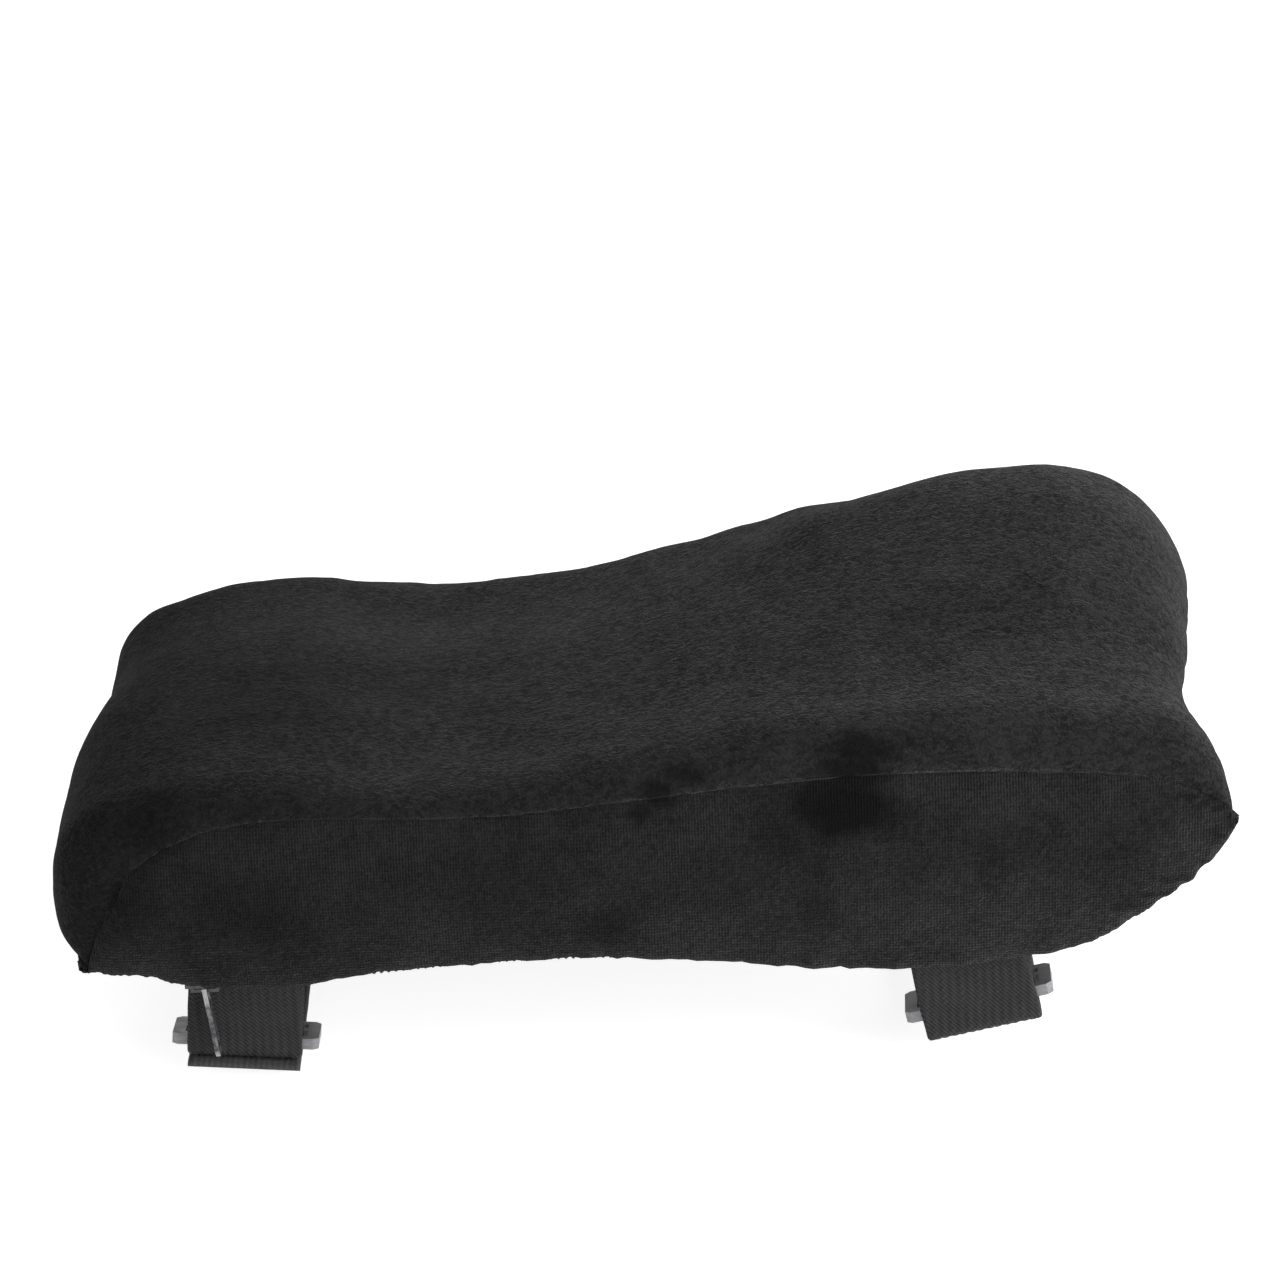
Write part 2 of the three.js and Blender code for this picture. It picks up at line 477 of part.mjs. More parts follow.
function strap(prefix, xc, tilt, { glideZ, pitchDeg, hang, foldZ, tail }) {
  const pitch = THREE.MathUtils.degToRad(pitchDeg);
  // depth s from the near edge, height h over the middle plane
  const glideAt = (s, h = 0) => [
    GLIDE_Y + (s - midS) * Math.cos(pitch) + h * Math.sin(pitch),
    glideZ - (s - midS) * Math.sin(pitch) + h * Math.cos(pitch),
  ];
  const barMid = GLIDE_BARS.map(([a, b]) => glideAt((a + b) / 2));
  const x0 = xc - STRAP_W / 2;
  const x1 = xc + STRAP_W / 2;

  // Woven loop: sewn flat to the underside, down in front, round the near bar and up again.
  const r = 2.0 + WEB_T / 2;
  const [by, bz] = barMid[0];
  const outerY = by - r;
  const innerY = by + r;
  const flangeZ = -GAP - WEB_T / 2;
  const loopLine = [
    ...line([-31, flangeZ], [outerY + 1.6, flangeZ], 3),
    ...arc(outerY + 1.6, flangeZ - 1.6, 1.6, 112, 180, 3),
    ...line([outerY, flangeZ - 3.5], [outerY, foldZ], 6),
    ...arc(by, foldZ, r, 198, 360, 8),
    ...line([innerY, bz + 1], [innerY, flangeZ - WEB_T - GAP - 0.1], 5),
  ];
  add(prefix + "_anchor_loop", hangTilted(prismX(bandOutline(loopLine, WEB_T), x0, x1), xc, tilt), "webbing");

  // Tri-glide buckle.
  const L = GLIDE_L / 2;
  const depth = GLIDE_BARS[2][1];
  const frame = new THREE.Shape();
  const c = 1.2;
  frame.moveTo(-L + c, 0).lineTo(L - c, 0).lineTo(L, c).lineTo(L, depth - c).lineTo(L - c, depth).lineTo(-L + c, depth).lineTo(-L, depth - c).lineTo(-L, c);
  for (const [a, b] of [[GLIDE_BARS[0][1], GLIDE_BARS[1][0]], [GLIDE_BARS[1][1], GLIDE_BARS[2][0]]]) {
    const w = STRAP_W / 2 + 0.8;
    frame.holes.push(new THREE.Path([[-w, a], [-w, b], [w, b], [w, a]].map((p) => new THREE.Vector2(...p))));
  }
  const g = new THREE.ExtrudeGeometry(frame, { depth: GLIDE_T, bevelEnabled: false });
  g.translate(xc, -midS, -GLIDE_T / 2);
  g.rotateX(-pitch);
  g.translate(0, GLIDE_Y, glideZ);
  add(prefix + "_tri_glide", hangTilted(g, xc, tilt), "plastic");

  // Elastic band: from the far side along the bottom, up through the buckle's far slot, over
  // its middle bar, down through the near slot, with a short tail under the loop.
  const e0 = x0 + 0.2;
  const e1 = x1 - 0.2;
  const runZ = -hang;
  const mz = barMid[1][1];
  const upY = glideAt((GLIDE_BARS[1][1] + GLIDE_BARS[2][0]) / 2)[0] - 0.15;
  const downY = glideAt(GLIDE_BARS[1][0], -GLIDE_T / 2)[0] - 0.3 - BAND_T / 2;
  const over = mz + 1.2 + 0.45 + BAND_T / 2;
  const farY = 48.9;
  const rise = 4.2;
  const bandLine = [
    ...arc(farY - rise, runZ + rise, rise, 0, -75, 6),
    ...line([farY - rise - 2, runZ], [-33.5, runZ], 8),
    [-35.2, runZ + 0.08],
    [upY + 0.5, runZ + 0.75],
    [upY, runZ + 1.9],
    [upY, over - 1.2],
    [upY - 0.45, over - 0.25],
    [upY - 1.2, over],
    [downY + 1.2, over + 0.35],
    [downY + 0.35, over + 0.05],
    [downY, over - 0.9],
    ...tail(downY),
  ];
  add(prefix + "_elastic_run", hangTilted(prismX(bandOutline(bandLine, BAND_T), e0, e1), xc, tilt), "elastic");

  // Far side of the elastic: sewn flat to the underside and down to the run.
  const riserLine = [
    ...line([31, flangeZ], [farY - 1.6, flangeZ], 3),
    ...arc(farY - 1.6, flangeZ - 1.6, 1.6, 68, 0, 3),
    ...line([farY, flangeZ - 3.5], [farY, runZ + rise + 0.35], 6),
  ];
  add(prefix + "_elastic_riser", hangTilted(prismX(bandOutline(riserLine, BAND_T), e0, e1), xc, tilt), "elastic");

  // Bar tacks that hold each sewn end.
  const tackZ = flangeZ - WEB_T / 2 - GAP;
  add(prefix + "_tack_near", toGeometry(solidBox(x0 + 1, x1 - 1, -38.2, -36.6, tackZ - 0.5, tackZ)), "thread");
  add(prefix + "_tack_far", toGeometry(solidBox(x0 + 1, x1 - 1, 36.6, 38.2, tackZ - 0.5, tackZ)), "thread");
}
// The front band's tail comes out forwards under its loop; the rear one's hangs behind its loop.
strap("front", FRONT_X, FRONT_TILT, {
  glideZ: -21.3, pitchDeg: 16, hang: 25.4, foldZ: -19.7,
  tail: (y) => [[y, -23.1], [y - 0.35, -24.2], [y - 1.3, -24.8], [-45.5, -24.9], [-48.4, -24.9]],
});
strap("rear", REAR_X, REAR_TILT, {
  glideZ: -16.9, pitchDeg: 12, hang: 20.6, foldZ: -18.75,
  tail: (y) => [[y, -19.0], [y + 0.1, -21.6]],
});

export default group;
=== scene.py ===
# A padded arm rest: a foam block in a velour cover, a zip under its near edge, and two
# slings of webbing and elastic that hang below it through tri-glides.
# The long side lies along X, with the wrist end at -X and the taller elbow end at +X.
# The near side faces -Y and Z is up. Shapes are worked out in mm and built in metres.
import bpy
import bmesh
import numpy as np
from math import pi, sin, cos, tan, radians, sqrt, exp, floor
from mathutils import Matrix, Vector, noise


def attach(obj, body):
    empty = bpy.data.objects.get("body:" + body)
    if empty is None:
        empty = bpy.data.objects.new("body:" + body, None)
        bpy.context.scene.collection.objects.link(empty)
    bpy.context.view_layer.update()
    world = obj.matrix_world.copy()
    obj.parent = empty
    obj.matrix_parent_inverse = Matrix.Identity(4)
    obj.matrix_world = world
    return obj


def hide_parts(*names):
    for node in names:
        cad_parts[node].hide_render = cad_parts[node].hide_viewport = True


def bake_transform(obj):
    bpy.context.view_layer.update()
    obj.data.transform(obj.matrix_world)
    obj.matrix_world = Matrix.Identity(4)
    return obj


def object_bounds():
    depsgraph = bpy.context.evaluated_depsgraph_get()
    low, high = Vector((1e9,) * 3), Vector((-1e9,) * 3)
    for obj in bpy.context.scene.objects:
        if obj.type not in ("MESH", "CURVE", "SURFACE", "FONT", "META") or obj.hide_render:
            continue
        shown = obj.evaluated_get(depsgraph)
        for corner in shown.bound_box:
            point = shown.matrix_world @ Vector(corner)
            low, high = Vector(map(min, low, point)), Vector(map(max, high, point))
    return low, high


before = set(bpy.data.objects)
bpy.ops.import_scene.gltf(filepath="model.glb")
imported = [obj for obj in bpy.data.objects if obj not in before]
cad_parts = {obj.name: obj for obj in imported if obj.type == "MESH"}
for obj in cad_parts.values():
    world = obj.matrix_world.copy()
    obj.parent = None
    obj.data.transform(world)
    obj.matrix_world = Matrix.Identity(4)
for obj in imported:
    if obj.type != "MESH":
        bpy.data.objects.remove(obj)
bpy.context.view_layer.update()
MM = 0.001

# ------------------------------------------------------------------ the cover's contour (mm)
HALF_W = 58.0         # half the width between the side seams
EDGE_ROLL = 12.0      # width of the rounding along the top's long edges
WRIST_ROUND = 12.0    # how far in from the sides each end is rounded in plan
ELBOW_ROUND = 38.0
BULGE = 3.4           # how far the side panels puff out
FLAT_HALF = 44.0      # half the width of the underside's flat middle
EDGE_RISE = 2.6       # the underside's lift beside that flat
ZIP_Y = -53.6
ZIP_X0, ZIP_X1 = -104.0, 81.0

# One entry per station, from the wrist end to the elbow end.
# Seam between top and side panels: (x, z)
TOP_SEAM = [
    (-117.3, 6.5), (-116.8, 10.7), (-115.6, 17.6), (-113.2, 22.8), (-110.2, 28.7), (-105.7, 32.5),
    (-101.2, 35.5), (-92.9, 38.9), (-83.5, 40.7), (-74, 41.2), (-63.3, 41.0), (-46.7, 40.4),
    (-30, 40.6), (-13, 42.0), (3.2, 43.7), (19.8, 45.4), (36.4, 46.9), (52.9, 47.6),
    (69.4, 47.7), (86, 46.8), (94, 46.2), (102.6, 45.2), (110.9, 43.8), (115.5, 41.8),
    (119.4, 39.4), (122.3, 37.0), (124.7, 34.6)]
# Highest line of the top: (x, z)
CREST = [
    (-118.4, 5.6), (-124.0, 10), (-127.2, 17), (-128.0, 25), (-125.5, 33), (-119.5, 39.6),
    (-111.5, 44.4), (-99, 47.4), (-86.5, 48.4), (-75, 48.2), (-63.3, 46.8), (-46.7, 45.8),
    (-30, 47.4), (-13, 50.6), (3.2, 54.6), (19.8, 59.6), (36.4, 65.4), (52.9, 71.0),
    (69.4, 75.6), (86, 78.0), (95, 77.6), (104, 75), (112, 69.5), (118, 61.5),
    (121.6, 52), (122.5, 42.5), (121.5, 33.6)]
# Lower edge of the side panels: (x, z)
HEM = [
    (-117.3, 5.6), (-116, 5.3), (-113, 4.8), (-110.5, 4.5), (-107, 3.7), (-104.2, 2.8),
    (-100, 1.4), (-92.9, 0.4), (-83, 0), (-74, 0.5), (-63.3, 2.6), (-46.7, 4.1),
    (-30, 5.0), (-13, 5.2), (3.2, 4.5), (19.8, 2.9), (36.4, 0.9), (52.9, 0.1),
    (69.4, 0.8), (83, 2.3), (92, 4.2), (98.5, 7.2), (104, 11.0), (110, 15.4),
    (115.5, 20.2), (120.5, 26.2), (124.5, 33.6)]
# Height of the underside's flat middle
UNDER_Z = [5.2, 4.4, 3.1, 2.2, 1.2, 0.4, 0, 0, 0, 0, 0, 0, 0, 0, 0, 0, 0, 0, 0, 0.8, 2.4, 5.0,
           8.8, 13.0, 18.0, 24.6, 32.8]
# Height of the rounding along the top's long edges
ROLL_Z = [0, 1.4, 3.0, 4.5, 6.0, 7.0, 7.6, 7.2, 6.2, 5.4, 4.6, 4.6, 5.6, 7.0, 8.2, 9.2, 10.0,
          10.6, 11.0, 11.2, 11.0, 10.6, 9.6, 8.0, 5.4, 2.6, 0]
# Place of the crest across the width
CREST_Y = [0, 0, 0, 0, 0, 0, 0, 0, 0, 0, 0, 0, 2, 5, 9, 13, 17, 20, 22, 23, 23, 22, 19, 15, 10,
           5, 0]
LAST = len(TOP_SEAM) - 1

# Lift of the far upper edge: (x, lift)
FAR_LIFT = np.array([
    (-122, -0.8), (-110, -2.2), (-100, -2.4), (-93, -2.4), (-76, -1.9), (-60, -2.7), (-41, -3.4),
    (-15, -3.5), (12, -1.8), (25, 0.2), (39, 2.3), (66, 2.1), (93, 0.7), (111, 0.8),
    (125, 0.4)], float)
# Shift along X of the elbow end, upper part and lower part: (y, shift)
ELBOW_UPPER = np.array([
    (-60, 1.0), (-54, 1.8), (-50, 1.5), (-45, 0.4), (-40, -1.3), (-35, -3.0), (-29, -4.0),
    (-23, -4.0), (-17, -2.8), (-11, -1.8), (-4, -1.4), (4, -0.5), (12, 0.3), (24, 1.3),
    (35, 1.5), (50, 0.6), (60, 0)], float)
ELBOW_LOWER = np.array([
    (-60, 0), (-40, 0), (-32, -0.5), (-24, -2.4), (-14, -4.6), (-4, -5.0), (12, -4.6),
    (25, -3.6), (40, -2.2), (60, -1.2)], float)


def at(table, u):
    """Catmull-Rom value of a station table at the fractional station u."""
    i = min(max(int(floor(u)), 0), LAST - 1)
    t = u - i
    a, b, c, d = (np.asarray(table[min(max(k, 0), LAST)], float) for k in (i - 1, i, i + 1, i + 2))
    return 0.5 * (2 * b + (c - a) * t + (2 * a - 5 * b + 4 * c - d) * t * t
                  + (3 * b - a - 3 * c + d) * t * t * t)


def smooth(start, end, v):
    t = np.clip((v - start) / (end - start), 0, 1)
    return t * t * (3 - 2 * t)


def quarter(dist, width):
    """A quarter ellipse that climbs from 0 at the edge to 1 at the given width."""
    t = np.clip(1 - dist / width, 0, 1)
    return np.sqrt(1 - t * t)


def along(table, v):
    """Value of a two-column table, eased between its entries."""
    k = np.clip(np.searchsorted(table[:, 0], v) - 1, 0, len(table) - 2)
    a, b = table[k], table[k + 1]
    t = smooth(0, 1, (v - a[..., 0]) / (b[..., 0] - a[..., 0]))
    return a[..., 1] + (b[..., 1] - a[..., 1]) * t


def shaped(P):
    """Bend points of the regular contour to the pad's uneven outline."""
    x, y, z = P[..., 0], P[..., 1], P[..., 2]
    far_wrist_cut = 5.2 * (1 - smooth(-122, -86, x)) * smooth(-12, 27, y) * smooth(8, 26, z)
    elbow_upper = along(ELBOW_UPPER, y) * smooth(84, 116, x) * smooth(12, 30, z)
    elbow_lower = (along(ELBOW_LOWER, y) * smooth(94, 116, x) * smooth(6, 22, z)
                   * (1 - smooth(38, 52, z)))
    wrist_foot = (3.4 * (1 - smooth(-118, -104, x)) * (1 - smooth(6, 24, z))
                  * (1 - smooth(0, 40, y)))
    dx = far_wrist_cut + elbow_upper + elbow_lower - wrist_foot
    dz = along(FAR_LIFT, x) * smooth(0, 38, y) * smooth(18, 38, z)
    return np.stack([x + dx, y, z + dz], -1)


def top_row(u, y):
    seam, crest = at(TOP_SEAM, u), at(CREST, u)
    dist = HALF_W - np.abs(y)
    roll = min(float(at(ROLL_Z, u)), max(crest[1] - seam[1], 0))
    crest_y = float(at(CREST_Y, u))
    # the bell across the width falls to nothing just inside each seam
    near_span, far_span = crest_y + HALF_W - 4, HALF_W - 3 - crest_y
    t = np.clip(np.where(y < crest_y, (crest_y - y) / near_span, (y - crest_y) / far_span), 0, 1)
    bell = 0.5 * (1 + np.cos(pi * np.where(y < crest_y, t ** 0.95, t ** 1.15)))
    rounding = WRIST_ROUND + (ELBOW_ROUND - WRIST_ROUND) * float(smooth(19, 23, u))
    return shaped(np.stack([
        seam[0] + (crest[0] - seam[0]) * quarter(dist, rounding), y,
        seam[1] + roll * quarter(dist, EDGE_ROLL) + (crest[1] - seam[1] - roll) * bell], -1))


def bottom_row(u, y):
    hem, crest = at(HEM, u), at(CREST, u)
    middle = float(at(UNDER_Z, u))
    out = np.abs(y)
    dist = HALF_W - out
    waist = float(smooth(3, 7, u)) * float(1 - smooth(18, 20.5, u))
    beside = middle + EDGE_RISE * smooth(0, 1, (out - FLAT_HALF) / 7) * waist
    z = beside + (hem[1] - beside) * smooth(HALF_W - 9, HALF_W - 0.5, out)
    z = np.where(out <= FLAT_HALF, middle, z)
    # both ends curve in plan with the panel that meets them
    elbow = float(smooth(23.5, 26, u))
    wrist = float(1 - smooth(0, 2, u))
    x = (hem[0] + (crest[0] - hem[0]) * quarter(dist, ELBOW_ROUND) * elbow
         + (crest[0] - hem[0]) * quarter(dist, WRIST_ROUND) * wrist)
    # the trench that the zip lies in
    trench = smooth(ZIP_X0 - 3, ZIP_X0 + 1, x) * (1 - smooth(ZIP_X1 - 1, ZIP_X1 + 3, x))
    z = z + trench * 2.1 * smooth(-57.4, -56.6, y) * (1 - smooth(-51.2, -50.2, y))
    return shaped(np.stack([x, y, z], -1))


def side_row(u, v, sign):
    seam, hem = at(TOP_SEAM, u), at(HEM, u)
    full = float(smooth(0, 4, u) * smooth(0, 4, LAST - u))
    puff = BULGE * np.sin(pi * v) ** 0.75 * (0.25 + 0.75 * full)
    return shaped(np.stack([hem[0] + (seam[0] - hem[0]) * v, sign * (HALF_W + puff),
                            hem[1] + (seam[1] - hem[1]) * v], -1))


# ------------------------------------------------------------------ shader helper
class Shader:
    """A Principled material whose textures are laid out in object space, in mm."""

    def __init__(self, name):
        self.material = bpy.data.materials.new(name)
        self.material.use_nodes = True
        self.tree = self.material.node_tree
        coords = self.new("TexCoord")
        scale = self.new("VectorMath", operation="SCALE")
        scale.inputs["Scale"].default_value = 1000.0
        self.put(scale.inputs[0], coords.outputs["Object"])
        self.mm = scale.outputs[0]

    def new(self, kind, **settings):
        node = self.tree.nodes.new("ShaderNode" + kind)
        for key, value in settings.items():
            setattr(node, key, value)
        return node

    def put(self, socket, value):
        if isinstance(value, bpy.types.NodeSocket):
            self.tree.links.new(value, socket)
        else:
            socket.default_value = value

    def math(self, operation, a, b, clamp=False):
        node = self.new("Math", operation=operation, use_clamp=clamp)
        self.put(node.inputs[0], a)
        self.put(node.inputs[1], b)
        return node.outputs[0]

    def add(self, a, b, clamp=False):
        return self.math("ADD", a, b, clamp)

    def mul(self, a, b):
        return self.math("MULTIPLY", a, b)

    def vmath(self, operation, a, b):
        node = self.new("VectorMath", operation=operation)
        self.put(node.inputs[0], a)
        self.put(node.inputs[1], b)
        return node.outputs[0]

    def length(self, vector):
        node = self.new("VectorMath", operation="LENGTH")
        self.put(node.inputs[0], vector)
        return node.outputs["Value"]

    def axis(self, name):
        node = self.new("SeparateXYZ")
        self.put(node.inputs[0], self.mm)
        return node.outputs[name]

    def noise(self, scale, detail, rough, vec=None, stretch=None, out=0):
        vec = vec or self.mm
        if stretch:
            vec = self.vmath("MULTIPLY", vec, stretch)
        node = self.new("TexNoise")
        node.inputs["Scale"].default_value = scale
        node.inputs["Detail"].default_value = detail
        node.inputs["Roughness"].default_value = rough
        self.put(node.inputs["Vector"], vec)
        return node.outputs[out]

    def jitter(self, colour, reach):
        """Turn a noise colour into an offset centred on zero."""
        return self.vmath("MULTIPLY", self.vmath("SUBTRACT", colour, (0.5,) * 3), (reach,) * 3)

    def wave(self, scale, direction, distortion, detail=1.0, detail_scale=1.0):
        node = self.new("TexWave", wave_type="BANDS", bands_direction=direction)
        node.inputs["Scale"].default_value = scale
        node.inputs["Distortion"].default_value = distortion
        node.inputs["Detail"].default_value = detail
        node.inputs["Detail Scale"].default_value = detail_scale
        self.put(node.inputs["Vector"], self.mm)
        return node.outputs["Fac"]

    def cells(self, scale):
        node = self.new("TexVoronoi", feature="F1")
        node.inputs["Scale"].default_value = scale
        self.put(node.inputs["Vector"], self.mm)
        return node.outputs["Distance"]

    def ramp(self, value, over, to=(0, 1)):
        node = self.new("MapRange")
        for key, limit in zip(("From Min", "From Max", "To Min", "To Max"), (*over, *to)):
            node.inputs[key].default_value = limit
        self.put(node.inputs["Value"], value)
        return node.outputs[0]

    def mix(self, fac, dark, pale):
        node = self.new("Mix", data_type="RGBA")
        self.put(node.inputs[0], fac)
        colours = [i for i in node.inputs if i.type == "RGBA"]
        self.put(colours[0], dark)
        self.put(colours[1], pale)
        return [o for o in node.outputs if o.type == "RGBA"][0]

    def bump(self, height, distance, strength):
        node = self.new("Bump")
        node.inputs["Strength"].default_value = strength
        node.inputs["Distance"].default_value = distance
        self.put(node.inputs["Height"], height)
        return node.outputs["Normal"]

    def set(self, **values):
        """Set inputs of the Principled node; underscores stand for spaces."""
        inputs = self.tree.nodes["Principled BSDF"].inputs
        for key, value in values.items():
            self.put(inputs[key.replace("_", " ")], value)


# ------------------------------------------------------------------ materials
# Places where the pile is brushed the other way, and painted shade in the prow's gathers and along
# the top seam at the elbow end: centre, radii (mm), strength
BRUSHED_AND_CREASE_SHADE = [
    ((43.5, -60, 40.5), (11.4, 9, 7.6), 1.06), ((38, -60, 42.5), (7.5, 8, 6), 0.95),
    ((45, -58, 48), (8.5, 7, 5), 0.95), ((47, -55, 52.5), (8.5, 6, 4.5), 0.9),
    ((56, -52, 54.5), (8, 5, 3), 0.35), ((-0.5, -59, 40), (3.2, 6, 3.0), 0.7),
    ((3.5, -58, 45), (4.2, 5, 3.2), 0.85), ((9, -55, 48.6), (4.6, 5, 2.4), 0.7),
    ((-9.5, -60, 13.5), (6, 7, 6.5), 0.62), ((-85, -60, 22), (13, 6, 9), 0.42),
    ((-80, -14, 47), (20, 20, 9), 0.30), ((-52, -4, 46), (10, 13, 9), 0.2),
    ((29, -60, 33), (5, 6, 5), 0.35), ((16, -60, 24), (6, 6, 11), 0.22),
    ((36, -60, 19), (4, 6, 12), 0.3), ((76, -60, 31), (8, 6, 8), 0.15),
    ((-40, -60, 27), (14, 6, 7), 0.2), ((-108, -59, 22), (6, 6, 8), 0.35),
    ((-103, -50, 38), (9, 12, 7), 0.35), ((62, -20, 66), (24, 10, 8), 0.10),
    # painted shade: the eight patches from here to x 122 are dark notches in the prow's gathers, then
    # a dark line along the top seam at the elbow end
    ((101.5, -60, 14), (3.2, 5, 1.2), 0.5), ((107, -60, 17.2), (3.0, 5, 1.2), 0.6),
    ((112.4, -60, 20.8), (3.2, 5, 1.3), 0.6), ((118, -60, 25), (2.4, 5, 1.2), 0.4),
    ((120, -59, 31), (2.2, 5, 2.4), 0.5), ((115.5, -59, 41.4), (3, 3, 0.9), 0.55),
    ((119.3, -59, 39.0), (3, 3, 0.9), 0.65), ((122, -59, 37.2), (2.2, 3, 0.9), 0.6),
    ((18, 60, 30), (14, 6, 10), 0.4), ((-60, 60, 26), (18, 6, 8), 0.35),
    ((88, 58, 33), (9, 8, 7), 0.5),
]
WEB_RIB = 1.9        # rib pitch of the webbing
ELASTIC_RIB = 1.25   # cord pitch of the elastic


def brushed_and_crease_shade_mask(s):
    coarse = s.noise(scale=0.09, detail=3, rough=0.6, out="Color")
    fine = s.noise(scale=0.35, detail=2, rough=0.6, out="Color")
    coarse, fine = s.jitter(coarse, reach=6.5), s.jitter(fine, reach=2.6)
    place = s.vmath("ADD", s.vmath("ADD", s.mm, coarse), fine)
    mask = None
    for centre, radii, strength in BRUSHED_AND_CREASE_SHADE:
        offset = s.vmath("DIVIDE", s.vmath("SUBTRACT", place, centre), radii)
        patch = s.ramp(s.length(offset), over=(1.25, 0.55), to=(0.0, strength))
        mask = patch if mask is None else s.math("MAXIMUM", mask, patch)
    return mask


def velour(name, knit):
    s = Shader(name)
    mask = brushed_and_crease_shade_mask(s)
    # broad mottling of the nap
    broad = s.noise(scale=0.035, detail=3, rough=0.55)
    medium = s.noise(scale=0.14, detail=3, rough=0.6)
    nap = s.add(s.ramp(broad, over=(0.35, 0.68), to=(-0.5, 0.5)),
                s.ramp(medium, over=(0.3, 0.7), to=(-0.35, 0.35)))
    sway = s.jitter(s.noise(scale=0.8, detail=2, rough=0.5, out="Color"), reach=2.6)
    strokes = s.noise(scale=0.85, detail=2, rough=0.6, vec=s.vmath("ADD", s.mm, sway),
                      stretch=None if knit else (0.66, 1.2, 1.2))
    fine = s.noise(scale=2.3, detail=2, rough=0.7)
    grain = s.add(s.mul(strokes, 1.15), s.mul(fine, 0.75))
    if knit:
        ribs = s.wave(scale=0.50, direction="X", distortion=1.8, detail=2, detail_scale=0.9)
        rows = s.wave(scale=0.40, direction="Z", distortion=2.2, detail=2, detail_scale=1.1)
        patch = s.ramp(s.noise(scale=0.05, detail=2, rough=0.5), over=(0.4, 0.62), to=(0.35, 1.0))
        grain = s.add(s.mul(s.mul(ribs, 0.34), patch), s.add(s.mul(rows, 0.14), grain))
    grain_span = (0.90, 1.48) if knit else (0.79, 1.15)
    light = s.add(1.0, s.add(s.mul(nap, 0.30), s.ramp(grain, over=grain_span, to=(-0.5, 0.5))))
    # darker where the pile is brushed the other way, and painted shade in the prow's gathers and
    # along the elbow end's top seam
    light = s.mul(light, s.math("SUBTRACT", 1.0, s.mul(mask, 0.86)))
    # painted light: the cover is coloured darker towards the wrist end and lighter towards the elbow
    # end, as the light falls on it, and its sheen follows the same gradient
    x = s.axis("X")
    light = s.mul(light, s.ramp(x, over=(-110, 70), to=(0.84, 1.16) if knit else (0.61, 1.32)))
    # painted shade: the top is coloured darker again towards the elbow end's tip, where the glancing
    # sheen rendered too bright
    if not knit:
        light = s.mul(light, s.ramp(x, over=(94, 119), to=(1.0, 0.74)))
    colour = s.mix(s.ramp(light, over=(0.0, 1.7)), dark=(0.0016, 0.0016, 0.0018, 1),
                   pale=(0.0200, 0.0202, 0.0210, 1))
    s.set(Base_Color=colour, Roughness=1.0, Specular_IOR_Level=0.12,
          Normal=s.bump(grain, distance=0.00045, strength=1.0),
          Sheen_Weight=s.mul(light, 0.085), Sheen_Roughness=0.42, Sheen_Tint=(1, 1, 1.03, 1))
    return s.material


def woven(name, rib, twill_scale, dark, pale):
    s = Shader(name)
    fibre = s.noise(scale=2.2, detail=3, rough=0.65, stretch=(1.6, 0.8, 0.8))
    slub = s.noise(scale=0.25, detail=2, rough=0.5)
    twill = s.wave(scale=twill_scale, direction="DIAGONAL", distortion=1.2, detail_scale=1.5)
    # a band texture of scale 0.314 repeats about once per unit
    columns = s.wave(scale=0.314 / rib, direction="X", distortion=0.5)
    height = s.add(s.mul(twill, 0.8), s.add(s.mul(columns, 0.4), s.mul(fibre, 0.5)))
    tone = s.add(s.mul(twill, 0.42),
                 s.add(s.mul(columns, 0.16), s.add(s.mul(fibre, 0.35), s.mul(slub, 0.25))))
    s.set(Base_Color=s.mix(s.ramp(tone, over=(0.25, 1.0)), dark, pale),
          Roughness=s.ramp(fibre, over=(0.2, 0.8), to=(0.62, 0.85)),
          Normal=s.bump(height, distance=0.00016, strength=0.8),
          Specular_IOR_Level=0.3, Sheen_Weight=0.06, Sheen_Roughness=0.4)
    return s.material


def acetal(name):
    s = Shader(name)
    grain = s.noise(scale=3.5, detail=3, rough=0.6)
    flow = s.noise(scale=0.3, detail=2, rough=0.5)
    scuff = s.noise(scale=1.1, detail=4, rough=0.7, stretch=(0.35, 2.2, 2.2))
    colour = s.mix(s.ramp(scuff, over=(0.45, 0.78)), dark=(0.23, 0.23, 0.24, 1),
                   pale=(0.36, 0.36, 0.37, 1))
    rough = s.add(s.ramp(flow, over=(0.3, 0.7), to=(0.24, 0.36)), s.mul(scuff, 0.12))
    s.set(Base_Color=colour, Metallic=0.65, Roughness=rough, Specular_IOR_Level=0.55,
          Normal=s.bump(grain, distance=0.00004, strength=0.5))
    return s.material


def zinc(name, bright):
    """Lacquered metal with worn spots; the bright one is pale metal at its lower tip and has a
    painted highlight at its upper end.
    """
    s = Shader(name)
    wear = s.noise(scale=0.9, detail=4, rough=0.65)
    tip, crown_highlight = 0.0, 0.0
    if bright:
        z = s.axis("Z")
        tip = s.ramp(z, over=(-17.0, -18.6), to=(0.0, 1.0))
        # painted highlight: pale metal over the pull's upper end
        crown_highlight = s.ramp(z, over=(-6.2, -4.8), to=(0.0, 0.75))
    wear_and_highlight = s.add(s.ramp(wear, over=(0.42, 0.66), to=(0.0, 0.45 if bright else 0.12)),
                 s.add(tip, crown_highlight), clamp=True)
    s.set(Base_Color=s.mix(wear_and_highlight, dark=(0.055, 0.055, 0.059, 1), pale=(0.40, 0.40, 0.41, 1)),
          Metallic=s.ramp(wear_and_highlight, over=(0, 1), to=(0.55, 1.0)),
          Roughness=s.ramp(wear, over=(0.3, 0.7), to=(0.24, 0.46)),
          Normal=s.bump(s.noise(scale=4.0, detail=3, rough=0.6), distance=0.00003, strength=0.6))
    return s.material


